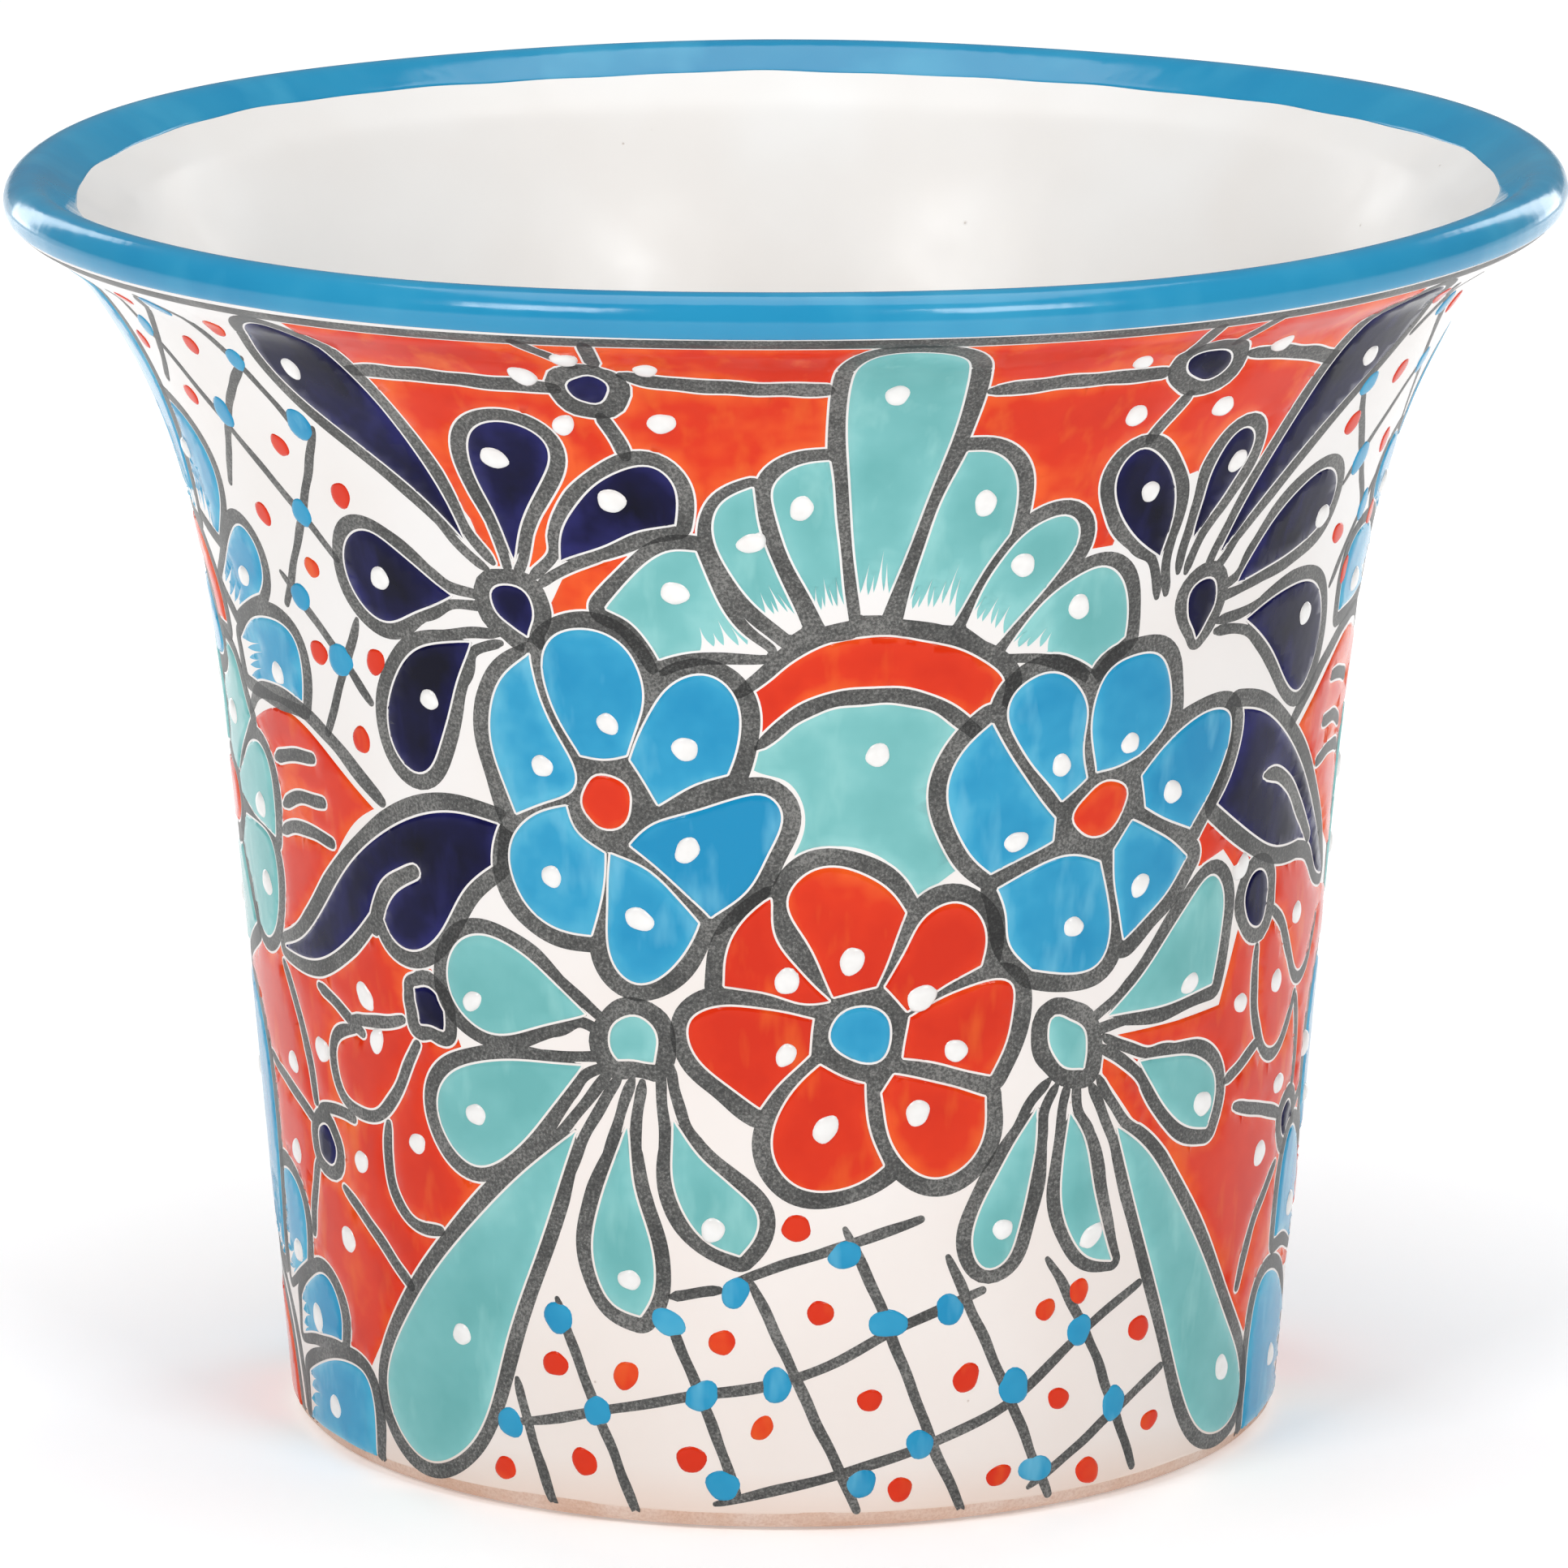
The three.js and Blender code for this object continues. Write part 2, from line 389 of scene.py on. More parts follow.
def wavy(turn, size, seed):
    """A wandering edge, as a brush or a wiping sponge leaves it."""
    draw = random.Random(seed)
    total = np.zeros_like(turn)
    for count in (2, 3, 5, 9, 14, 23, 37):
        total += np.sin(count * turn + any_phase(draw)) * draw.uniform(0.5, 1) / count ** 0.45
    return total * size / 2.2


def coat(name, material, start, stop, proud, depth, edge=1.2, turns=360, step=1.6):
    """A closed skin of glaze round the pot between two wandering distances along the section,
    thinning out at both edges."""
    turn = np.linspace(0, 2 * math.pi, turns, endpoint=False)
    begin, end = start(turn), stop(turn)
    rows = int((end.mean() - begin.mean()) / step)
    inner = np.linspace(0, 1, rows)
    near_edge = inner[1] * np.array([0.3, 0.6])
    share = np.unique(np.concatenate([inner, near_edge, 1 - near_edge]))
    s = begin[:, None] + (end - begin)[:, None] * share
    from_edge = np.minimum(s - begin[:, None], end[:, None] - s)
    body = rounded(from_edge / edge)
    outer = proud * body - 0.5 * depth * (1 - body)
    rings = s.shape[1]
    grid = np.repeat(turn[:, None], rings, axis=1)
    top = on_pot(grid.ravel(), s.ravel(), outer.ravel())
    under = on_pot(grid.ravel(), s.ravel(), np.full(s.size, -depth))
    index = np.arange(turns * rings).reshape(turns, rings)
    beside = np.roll(index, -1, axis=0)
    a, b, c, d = index[:, :-1], beside[:, :-1], beside[:, 1:], index[:, 1:]
    count = turns * rings
    faces = np.concatenate([
        np.stack([a, b, c, d], -1).reshape(-1, 4),
        np.stack([d, c, b, a], -1).reshape(-1, 4) + count,
        np.stack([index[:, 0] + count, beside[:, 0] + count, beside[:, 0], index[:, 0]], -1),
        np.stack([index[:, -1], beside[:, -1], beside[:, -1] + count, index[:, -1] + count], -1)])
    return solid(name, np.vstack([top, under]), faces.tolist(), [material])


def clay_pot():
    """The fired clay itself: one closed turned solid, bare at the foot and inside the drain hole
    and set back under the glaze everywhere else."""
    turns = 360
    s = np.arange(0, path_length[-1], 2.0)
    past_edge = s - outside_at(glaze_foot)
    inset = -0.45 * np.clip((past_edge - 1) / 4, 0, 1) - 0.12 * np.clip((past_edge + 2) / 2, 0, 1)
    turn = np.linspace(0, 2 * math.pi, turns, endpoint=False)
    rings = len(s)
    points = on_pot(np.repeat(turn, rings), np.tile(s, turns), np.tile(inset, turns))
    index = np.arange(turns * rings).reshape(turns, rings)
    a, b = index, np.roll(index, -1, axis=0)
    faces = np.stack([a, b, np.roll(b, -1, axis=1), np.roll(a, -1, axis=1)], -1).reshape(-1, 4)
    return solid("fired_clay", points, faces.tolist(), [clay])


# ---- painting: everything drawn on the outside, measured as (degrees from the front, height) ----
page_radius = 110.0    # the wall is laid out flat as if it had this radius all the way up
seam = -90.0           # the page is cut at the middle of the left side
gap = 0.45             # bare white edge kept between a colour and its outline
line_width = 3.3
outline_step = 0.9     # between the points of an outline
fan_foot = 3.0         # where the lowest petals of the blue fans end
page_foot = 2.6        # nothing is painted below this height
paintings = []
dots = []


def corner(a, z):
    """A point where an outline turns sharply."""
    return (a, z, "corner")


def spline(points):
    """Closely spaced points on a smooth curve through a few given ones."""
    points = np.array(points, float)
    n, close = len(points), 0.3
    if n == 2:
        steps = max(2, int(np.hypot(*(points[1] - points[0])) / close))
        return points[0] + (points[1] - points[0]) * np.linspace(0, 1, steps)[:, None]
    chords = np.hypot(*np.diff(points, axis=0).T)
    t = np.append(0, np.cumsum(np.sqrt(np.maximum(chords, 1e-6))))
    h = np.diff(t)
    system, right = np.eye(n), np.zeros((n, 2))
    for i in range(1, n - 1):
        system[i, i - 1:i + 2] = h[i - 1], 2 * (h[i - 1] + h[i]), h[i]
        right[i] = 6 * ((points[i + 1] - points[i]) / h[i] - (points[i] - points[i - 1]) / h[i - 1])
    bend = np.linalg.solve(system, right)
    fine = np.linspace(0, t[-1], max(4, int(chords.sum() / close)))
    fine = np.unique(np.concatenate([fine, t]))
    k = np.clip(np.searchsorted(t, fine, side="right") - 1, 0, n - 2)
    u, v, w = (t[k + 1] - fine)[:, None], (fine - t[k])[:, None], h[k][:, None]
    return (bend[k] * u ** 3 / (6 * w) + bend[k + 1] * v ** 3 / (6 * w)
            + (points[k] / w - bend[k] * w / 6) * u + (points[k + 1] / w - bend[k + 1] * w / 6) * v)


def evenly(points, step):
    """The same curve with its points about one step apart."""
    along = np.append(0, np.cumsum(np.hypot(*np.diff(points, axis=0).T)))
    count = max(3, int(round(along[-1] / step)))
    even = np.linspace(0, along[-1], count + 1)
    return np.column_stack([np.interp(even, along, points[:, i]) for i in (0, 1)])


def to_sheet(points, middle):
    """(degrees, height) to millimetres across and along the wall, on a sheet laid at middle."""
    a, z = np.array([p[:2] for p in points], float).T
    s = outside_at(z)
    return np.column_stack([np.radians(a - middle) * on_path(s)[0], s])


def closed_outline(points, middle, step=outline_step):
    """Samples a closed outline with its marked corners kept sharp. Gives the samples and, for
    each one, how far it lies from the nearest pointed end."""
    sheet = to_sheet(points, middle)
    widest_point, far = 0.3, 99.0    # the cosine of a point's widest angle, and no point near
    sharp = [i for i, p in enumerate(points) if len(p) == 3]
    if not sharp:
        around = np.vstack([sheet[-3:], sheet, sheet[:4]])
        fine = spline(around)
        first = int(np.argmin(np.hypot(*(fine[:len(fine) // 2] - sheet[0]).T)))
        later = fine[len(fine) // 2:]
        last = len(fine) // 2 + int(np.argmin(np.hypot(*(later - sheet[0]).T)))
        loop = evenly(fine[first:last + 1], step)[:-1]
        ends = []
    else:
        sheet = np.roll(sheet, -sharp[0], axis=0)
        stops = [i - sharp[0] for i in sharp] + [len(sheet)]
        sheet = np.vstack([sheet, sheet[:1]])
        runs = [evenly(spline(sheet[i:j + 1]), step)[:-1] for i, j in zip(stops, stops[1:])]
        loop = np.vstack(runs)
        ends = []
        for run, before in zip(runs, runs[-1:] + runs[:-1]):
            out, back = run[min(3, len(run) - 1)] - run[0], before[-min(3, len(before))] - run[0]
            cosine = out @ back / (np.hypot(*out) * np.hypot(*back) + 1e-9)
            if cosine > widest_point:
                ends.append(run[0])
    area = 0.5 * np.sum(loop[:, 0] * np.roll(loop[:, 1], -1) - np.roll(loop[:, 0], -1) * loop[:, 1])
    if area < 0:
        loop = loop[::-1]
    reach = np.full(len(loop), far)
    for end in ends:
        reach = np.minimum(reach, np.hypot(*(loop - end).T))
    return loop, reach


def normals_of(line, closed):
    """The outward direction at each point of a line: to the right of the way it is drawn."""
    if closed:
        along = np.roll(line, -1, axis=0) - np.roll(line, 1, axis=0)
    else:
        along = np.gradient(line, axis=0)
    along /= np.hypot(*along.T)[:, None] + 1e-9
    return np.column_stack([along[:, 1], -along[:, 0]])


def tremble(count, draw, size, closed=True):
    """The small shake of a hand-held brush along a line of so many points, which lie about a
    millimetre apart."""
    t = np.linspace(0, 2 * math.pi, count, endpoint=not closed)
    waves = [k * (1 if closed else min(1, count / 50)) for k in (2, 3, 5)]
    return size * sum(np.sin(k * t + any_phase(draw)) * draw.uniform(0.4, 1) for k in waves)


def paint(kind, piece, outline, place, colour=None, width=line_width, tone=0.0, taper=(1.0, 1.0),
          group=None, open_root=False):
    """Adds one painted shape. A kind is field (colour without outline), motif (colour with its
    outline), stroke (an open brush line) or scratch (a lick of white through the colour)."""
    points = [tuple(place(*p[:2])) + tuple(p[2:]) for p in outline]
    draw = random.Random(f"{piece}{len(paintings)}")
    middle = sum(p[0] for p in points) / len(points)
    shape = {"kind": kind, "piece": piece, "middle": middle, "colour": colour, "group": group or piece,
             "tone": tone + draw.uniform(-0.18, 0.18)}
    shake, swell_share = 0.10, 0.12
    if kind == "stroke":
        line = evenly(spline(to_sheet(points, middle)), 1.0)
        t = np.linspace(0, 1, len(line))
        ends = np.minimum(t / swell_share, 1) ** 0.5 * (1 - taper[0]) + taper[0]
        ends *= np.minimum((1 - t) / swell_share, 1) ** 0.5 * (1 - taper[1]) + taper[1]
        shape["line"] = line + normals_of(line, False) * tremble(len(line), draw, shake, False)[:, None]
        shape["width"] = width * ends * (1 + tremble(len(line), draw, 0.05, False))
    else:
        loop, reach = closed_outline(points, middle, 0.6 if kind == "scratch" else outline_step)
        if kind != "scratch":
            loop = loop + normals_of(loop, True) * tremble(len(loop), draw, shake)[:, None]
        shape["line"] = loop
        pressed = 0.62 + 0.38 * np.clip(reach / 14, 0, 1)    # the brush lifts towards a pointed end
        shape["width"] = width * (1 + tremble(len(loop), draw, 0.06)) * pressed
        if open_root:
            root = to_sheet([points[0]], middle)[0]
            shape["width"] = shape["width"] * np.clip(np.hypot(*(loop - root).T) / 3 - 0.3, 0.02, 1)
    paintings.append(shape)


def drop(piece, a, z, place, across=5.2, high=0.8, colour=None, flat=False):
    """A white drop, or a dabbed flat dot of a colour."""
    a, z = place(a, z)
    dots.append((piece, a, z, across, high, colour, flat))


def as_it_is(a, z):
    """The placement of the front's own shapes."""
    return a, z


front_middle, back_middle = 8.0, 188.0
back_squeeze = 82 / 98     # how much narrower the back's panel is than the front's


def round_the_back(a, z):
    """The back is the front's mirror image, squeezed a little into the turn that is left."""
    return (back_middle + (front_middle - a) * back_squeeze,
            z + 1.2 * math.sin(a / 17) * min(1, (235 - z) / 30) * min(1, z / 30))


def other_side(a, z):
    """The left side's shapes mirrored to the right side."""
    return 2 * front_middle - a, z


def other_side_back(a, z):
    return round_the_back(*other_side(a, z))


def flower(piece, colour, petals, eye_colour, eye, spots, place, tones):
    """Petals with their tones, the white drops on them and the eye, which is painted last."""
    for petal, tone in zip(petals, tones):
        paint("motif", piece, petal, place, colour, tone=tone)
    for a, z in spots:
        drop(piece, a, z, place)
    paint("motif", piece + "_eye", eye, place, eye_colour, width=3.6, group=piece)


def leaves(piece, colour, shapes, place):
    """Each leaf is its outline, starting from its pointed root, the spot of its white drop and,
    where the brush ran on, the place that its two outlines run on towards."""
    for outline, spot, *onward in shapes:
        if onward:
            run_on(piece, outline, onward[0], place)
        paint("motif", piece, outline, place, colour, width=2.9, open_root=bool(onward))
        drop(piece, *spot, place)


def run_on(piece, outline, onward, place):
    """The two sides of a leaf's outline, run on past its root until they almost meet."""
    points = [tuple(place(*p[:2])) + tuple(p[2:]) for p in outline]
    middle = sum(p[0] for p in points) / len(points)
    loop, _ = closed_outline(points, middle)
    root = to_sheet([points[0]], middle)[0]
    end = to_sheet([place(*onward)], middle)[0]
    start = int(np.argmin(np.hypot(*(loop - root).T)))
    away = (end - root) / (np.hypot(*(end - root)) + 1e-9)
    across = np.array([away[1], -away[0]])
    beside = loop + normals_of(loop, True) * (gap + line_width * 0.36)
    apart_at_root, apart_at_end = 1.9, 1.0
    for step in (1, -1):
        side = [beside[(start + step * k) % len(loop)] for k in (9, 5)]
        lean = 1 if (side[1] - root) @ across > 0 else -1
        path = side + [root + across * lean * apart_at_root, end + across * lean * apart_at_end]
        back = [(math.degrees(x / on_path(y)[0]) + middle, on_path(y)[1]) for x, y in path]
        paint("stroke", piece, back, as_it_is, width=line_width * 0.66, taper=(0.9, 0.6))


def bud(piece, colour, outline, place, width=3.6):
    """A small rounded shape where stems or leaves meet."""
    paint("motif", piece, outline, place, colour, width=width)


def strokes(piece, lines, place, width=2.4, taper=(0.6, 0.8)):
    """Thin open lines: stems, curls and dashes."""
    for line in lines:
        paint("stroke", piece, line, place, width=width, taper=taper)


def licks(piece, bases, place, rise):
    """A ragged white foot brushed up into a petal: bases are (degrees, height) along the foot and
    rise says, for each one, how far its tongues reach in degrees and millimetres."""
    draw = random.Random(piece + "licks")
    short_middle_long, half_width = (0.6, 0.9, 1.3), 1.7
    for (a, z), (da, dz) in zip(bases, rise):
        reach = draw.choice(short_middle_long) * draw.uniform(0.85, 1.15)
        lean = draw.uniform(-0.35, 0.35)
        wide = draw.uniform(0.8, 1.3)
        side_a, side_z = (-dz, da * 2) if abs(da) * 2 > abs(dz) else (1.0, 0.0)
        length = math.hypot(side_a * 2, side_z) + 1e-9
        sa, sz = side_a / length * half_width * wide, side_z / length * half_width * wide
        tip = (a + da * reach + lean * (abs(sa) > 0.2), z + dz * reach)
        paint("scratch", piece, [
            corner(a - sa, z - sz), (a - sa * 0.3 + da * 0.4 * reach, z - sz * 0.3 + dz * 0.4 * reach),
            corner(*tip), (a + sa * 0.2 + da * 0.5 * reach, z + sz * 0.2 + dz * 0.5 * reach),
            corner(a + sa, z + sz), corner(a - da * 0.3, z - dz * 0.3)], place)


def tooth_row(piece, start, end, count, rise, place):
    """Licks along a straight foot."""
    t = np.linspace(0, 1, count)
    bases = [(start[0] + (end[0] - start[0]) * k, start[1] + (end[1] - start[1]) * k) for k in t]
    licks(piece, bases, place, [rise] * count)


def lattice(piece, lines, blue, orange, place):
    """Thin crossing lines, blue dots on the crossings and orange dots between them."""
    for line in lines:
        paint("stroke", piece, line, place, width=2.1, taper=(0.5, 0.8), group=piece)
    for a, z in blue:
        drop(piece, a, z, place, 6.3, 0.22, "sky_blue", True)
    for a, z in orange:
        drop(piece, a, z, place, 5.0, 0.22, "orange_red", True)


def central_panel(side, place):
    """The big panel: a teal fan over an orange crescent, two blue flowers, an orange flower,
    sprays of leaves and a lattice at the foot."""
    # ground colours
    paint("field", side + "_orange_ground", [
        corner(-39, 236), corner(-33.5, 213), corner(-28.8, 196), corner(-27.6, 186.8),
        corner(-24.4, 187.3), corner(-22.6, 187.5), corner(-17.5, 199), corner(-9, 197), corner(0, 185),
        corner(18, 185), corner(28, 190), corner(31, 190.3), corner(32, 200), corner(38.8, 203),
        corner(40, 196), corner(42, 205), corner(45, 200), corner(46.3, 200), corner(52, 228),
        corner(55, 236)], place, "orange_red")
    paint("field", side + "_orange_ground", [
        corner(-22.6, 178.2), corner(-20.4, 185.6), corner(-14, 192.4),
        corner(-15, 178.5)], place, "orange_red")
    strokes(side + "_stems", [
        [(-36.5, 224.8), (-30, 225.3), (-18, 224.6)], [(-12.5, 227.8), (-7, 226), (3.3, 225.3)],
        [(16.3, 224.2), (24, 225.2), (31, 225)],
        [(39, 227), (45, 225), (52.7, 220.5)]], place, 3.2, (0.5, 0.9))
    strokes(side + "_stems", [
        [(-16, 229.5), (-17.3, 231.8), (-19.4, 235.4)], [(-14.3, 230), (-14.2, 235.2)],
        [(-14.8, 219), (-13.8, 215), (-13.2, 211)], [(32.6, 229), (32.8, 235.3)],
        [(36.5, 230), (38.2, 235.3)], [(34.6, 219.8), (33.6, 216), (32.3, 211)]], place, 2.8, (0.7, 0.8))
    bud(side + "_navy_buds", "navy", [(-16.9, 225.3), (-15.6, 227.2), (-13.9, 226.4), (-13.9, 223.8),
                                      (-15.2, 221.8), (-16.6, 223.2)], place)
    bud(side + "_navy_buds", "navy", [(33, 227.3), (34.6, 228.7), (37, 227.2), (37.1, 224), (36, 222.4),
                                      (34, 224)], place)
    for spot in ((-16.3, 231.4), (-10.4, 229.6), (-20.3, 227.3), (-18, 217), (-9.8, 218.2),
                 (28.4, 228.5), (42, 228.3), (29.9, 216.8), (38.8, 216.2)):
        drop(side + "_stems", *spot, place)

    # lattice at the foot
    lattice(side + "_lattice", [
        [(-5.3, 49.6), (1, 53.8), (6.8, 57), (14.6, 61.3)],
        [(-32, 17.6), (-21, 22), (-9, 27), (1, 30.5), (11, 38.6), (21.8, 46.2)],
        [(-7.7, 5.4), (6, 11.2), (16, 16.2), (26, 23.6), (34, 34), (42.3, 42.4)],
        [(28.6, 5.2), (40, 17.5), (46.8, 24)],
        [(-30.8, 26.5), (-29, 14), (-26.8, 2.5)], [(-25.3, 43.8), (-21.4, 24), (-16.8, 3)],
        [(-12.5, 42), (-9, 26), (-5.2, 7.5)], [(-3.5, 50), (1.2, 31), (8.2, 4)],
        [(6.5, 60.2), (11.4, 40), (16, 19), (20.3, 2.8)], [(17.7, 53.5), (24.5, 28), (31.2, 3.2)],
        [(29.5, 50.8), (34.5, 36.5), (43.3, 5.2)], [(-12.2, 46.4), (-7, 48)]],
        [(-25.2, 40), (-12.6, 41.2), (-5.2, 47.6), (-0.8, 29.3), (-9, 26.8), (-21, 22.2), (-32, 17.4),
         (-6.8, 9), (6.5, 55), (11.3, 41), (18.1, 43), (34.2, 35.3), (26.1, 26.1), (39.7, 19), (15.2, 16.5),
         (8.6, 9.3), (29.4, 8.8)],
        [(-25.8, 30.7), (-17.5, 29.9), (-6.7, 37.6), (3.9, 43.6), (1.3, 60.4), (-2.4, 20.7), (-10.3, 14),
         (-22.8, 11.7), (-33, 8), (9.4, 25.9), (20.3, 29), (29.6, 40.6), (33.8, 43.2), (42.8, 33),
         (31.9, 22.3), (13, 7.7), (24.7, 8.6), (36.5, 6.5), (45.6, 13.6)], place)

    # navy leaves, left and right
    leaves(side + "_navy_leaves_left", "navy", [
        ([corner(-29.9, 191.8), (-32.8, 209), (-36.5, 224), (-39.3, 230.8), (-42.3, 232.8), (-45.4, 229.5),
          (-45, 221.5), (-40, 211), (-34.5, 202)], (-42.5, 223.2), (-27.6, 187)),
        ([corner(-25, 189), (-22.8, 200), (-20.2, 208.5), (-20.3, 213.6), (-22.9, 216.6), (-26.2, 214.5),
          (-27.4, 208), (-26.3, 199)], (-24.9, 209.3), (-25.4, 185.8)),
        ([corner(-20.4, 189.2), (-19.6, 196), (-16.8, 203.5), (-13.6, 208), (-11, 208.6), (-9.3, 204.5),
          corner(-9.6, 197.6), (-13, 196), (-16, 193)], (-14.9, 202), (-23.2, 184.6)),
        ([corner(-32.4, 180), (-36.6, 185.8), (-40.8, 190.4), (-44, 187.6), (-44.8, 181.5), (-43.4, 175.2),
          (-40.6, 172.9), (-36.8, 175.8)], (-40.4, 181.5), (-28.6, 179.6)),
        ([corner(-31, 171), (-33.4, 161), (-35.4, 151), (-37.2, 145.4), (-39, 144.2), (-41.1, 146.8),
          (-42, 152.5), (-40.6, 161.5), (-36.5, 168.8)], (-36.3, 158.8), (-27.6, 172.6))], place)
    bud(side + "_navy_leaves_left", "navy", [(-27.9, 181.5), (-26, 183.4), (-24.2, 181.6), (-23.9, 178.5),
                                             corner(-24.6, 173.6), (-27, 177)], place, 3.3)
    leaves(side + "_navy_leaves_right", "navy", [
        ([corner(44.5, 185.4), (46.6, 196), (49.6, 212), (51.6, 225), (54.3, 231), (58.2, 233.2),
          (61.2, 229.5), (60.4, 222), (56, 211), (50, 198)], (56.2, 220.2), (43.4, 181.6)),
        ([corner(40.4, 189.5), (40.5, 198), (41.2, 206.5), (42.8, 210.2), (44.5, 208), (43.6, 199.5)],
         (43.2, 203.8), (39.8, 182.6)),
        ([corner(36.7, 186.6), (33.4, 191.5), (30.9, 198), (30.1, 204.5), (31.6, 209), (34.2, 206.8),
          (36.5, 200.5), (37.1, 193)], (33.8, 200.4), (37.6, 178.6)),
        ([corner(48, 178.3), (50.8, 187.5), (54.6, 194.3), (58.6, 196.4), (61.6, 192.5), (61.2, 186.5),
          (57, 182)],
         (60.2, 186.8), (45, 176.8)),
        ([corner(50.4, 170), (54.8, 172.8), (60, 174), (64.1, 170.6), (65.9, 163.5), (65.2, 156),
          (62.8, 151.9), (59.6, 154.8), (55.6, 162.5)], (61.2, 167.4), (45.8, 170.2))], place)
    bud(side + "_navy_leaves_right", "navy", [(41.3, 176.4), (42.4, 179.8), (44.2, 179.6), (45, 176.2),
                                              corner(43.1, 168.8)], place, 3.3)

    # teal fan
    fan = side + "_teal_fan"
    leaves(fan, "teal", [
        ([corner(-1.8, 172.6), (-4.2, 176.6), (-6.4, 183.5), corner(-7.9, 192), (-10.4, 191.8),
          (-13.6, 187), corner(-16.4, 180.3), (-14.4, 178.3), (-12.9, 174.8), corner(-11.7, 170.8),
          (-9.2, 172.4), (-5.8, 173)],
         (-9.9, 184)),
        ([corner(-2.7, 205), (-5.2, 202.2), (-6.1, 197.5), (-5.2, 190), (-2.6, 182), corner(0.6, 176.4),
          corner(1.4, 177.6), (-0.4, 186.5), (-2, 195)], (-2.9, 194.2)),
        ([corner(3.7, 210.3), (1.2, 209.5), (-0.7, 205.8), (-0.8, 201.2), (0.4, 192.5), corner(4, 178),
          corner(5.7, 178), (5, 190)], (1.5, 201.2)),
        ([corner(15.4, 211.6), (17.6, 211), (19.7, 207.2), (20.5, 201.5), corner(20.3, 194.5), (18.4, 188),
          corner(15.6, 177.6), corner(11.2, 178.6), (12.4, 191), (14, 203)], (17.6, 201.2)),
        ([(25.6, 197), (27, 194.4), (26.8, 189.6), (24.6, 183.2), corner(20, 173), corner(17.2, 176.8),
          (18.6, 184), (20.4, 190.6), (22.8, 195.4)], (22, 188.2)),
        ([(30.3, 186), (33, 181.6), (33.9, 175.4), corner(33.9, 171.6), (32.2, 169), corner(30.8, 166.2),
          (28.8, 168.8), (26.2, 170.2), corner(21.4, 171.2), (23.6, 177.6), (26.2, 182.6)],
         (28.3, 178.8))], place)
    paint("motif", fan, [corner(7.2, 180), (6.4, 191), (5.5, 208), (5.1, 221), (5.6, 230), (7.4, 233),
                         (11.4, 233), (13.6, 231), (14.2, 225), (13.7, 214), (12, 200), corner(8.9, 180)],
          place, "teal")
    drop(fan, 8.8, 224.2, place)
    tooth_row(fan, (-6.8, 172.6), (-2.4, 173), 5, (-1.6, 6), place)
    tooth_row(fan, (-0.7, 178), (1.3, 177.8), 4, (-2.2, 8), place)
    tooth_row(fan, (3.4, 178.2), (5.6, 178.2), 5, (-1.1, 9), place)
    tooth_row(fan, (7.2, 180.4), (9.2, 180.4), 4, (0.2, 12), place)
    tooth_row(fan, (11.2, 178.6), (15.3, 178), 7, (0.8, 8), place)
    tooth_row(fan, (17.3, 176.6), (19.9, 173.6), 5, (1.3, 7), place)
    tooth_row(fan, (21.6, 171.2), (24.8, 170.6), 4, (1.4, 4.5), place)
    paint("field", side + "_orange_crescent", [
        corner(-3.4, 152), corner(-5.2, 162.5), (-2.5, 167.6), (1.2, 172.2), (4.6, 175), (8.3, 176),
        (12.2, 175.2), (16, 173), (20, 169), corner(23, 165), corner(22.5, 158), corner(18.6, 155),
        (15.6, 160), (12.6, 162.4), (8.3, 163.6), (3.6, 162), (0, 158)], place, "orange_red")
    paint("stroke", fan, [(-4.8, 164), (-2, 168), (0.2, 172), (4, 176.1), (8.3, 177.4), (12.2, 176.7),
                          (16, 174.6), (20, 170.6), (22.2, 166), (22, 160.5)], place, width=3.4,
          taper=(0.3, 0.8))
    paint("field", side + "_teal_disc", [
        (-3.7, 151), (-3.1, 153.6), (0, 157.8), (4.2, 162.4), (9.6, 163.6), (14, 161), corner(17.4, 156.6),
        (15.8, 150), (14.4, 144), (15.2, 136.5), corner(17.4, 129.6), corner(13, 124), (11.2, 130),
        (9, 133.2), (5.4, 134.9), corner(1, 133.2), (2, 138), (1.8, 143.4), (0.2, 147.6),
        (-2, 148.9)], place, "teal")
    paint("stroke", fan, [(-2.6, 154), (0, 158.6), (3.4, 162.4), (8.3, 164), (13, 162.8), (16, 160),
                          (18.8, 155.5)],
          place, width=2.9, taper=(0.3, 0.9))
    drop(fan, 9, 152.5, place)

    # navy scrolls
    scroll = side + "_navy_scrolls"
    paint("motif", scroll, [
        corner(-65, 100.7), (-60.5, 103.8), (-55.4, 111.4), (-50.4, 121.4), (-45.6, 128.8), (-40, 134.5),
        (-34.4, 137), corner(-29.4, 136), corner(-30, 128.6), (-34, 122.4), (-37.2, 113.4), (-40.8, 108.6),
        (-43.8, 110), corner(-45.6, 117.4), (-48.6, 111.4), (-52.6, 105.4), (-58, 101)], place, "navy")
    paint("stroke", scroll, [(-46.4, 111), (-45.4, 116.5), (-43, 121.4), (-40.2, 124)], place, width=3.2,
          taper=(0.9, 0.9))
    paint("motif", scroll, [
        corner(50.7, 152.3), (55, 150.4), (60.4, 144.6), (66.2, 135), (72.2, 122.6), corner(78.4, 109.8),
        (74.4, 112.4), (71, 118.2), corner(66.8, 121), (61, 122), (55.6, 126.6), corner(49, 134.8),
        (50.6, 143)], place, "navy")
    paint("stroke", scroll, [(57.2, 137), (60.2, 136.2), (63.6, 132), (67, 125.6), (70, 120)], place,
          width=2.8, taper=(0.3, 0.9))

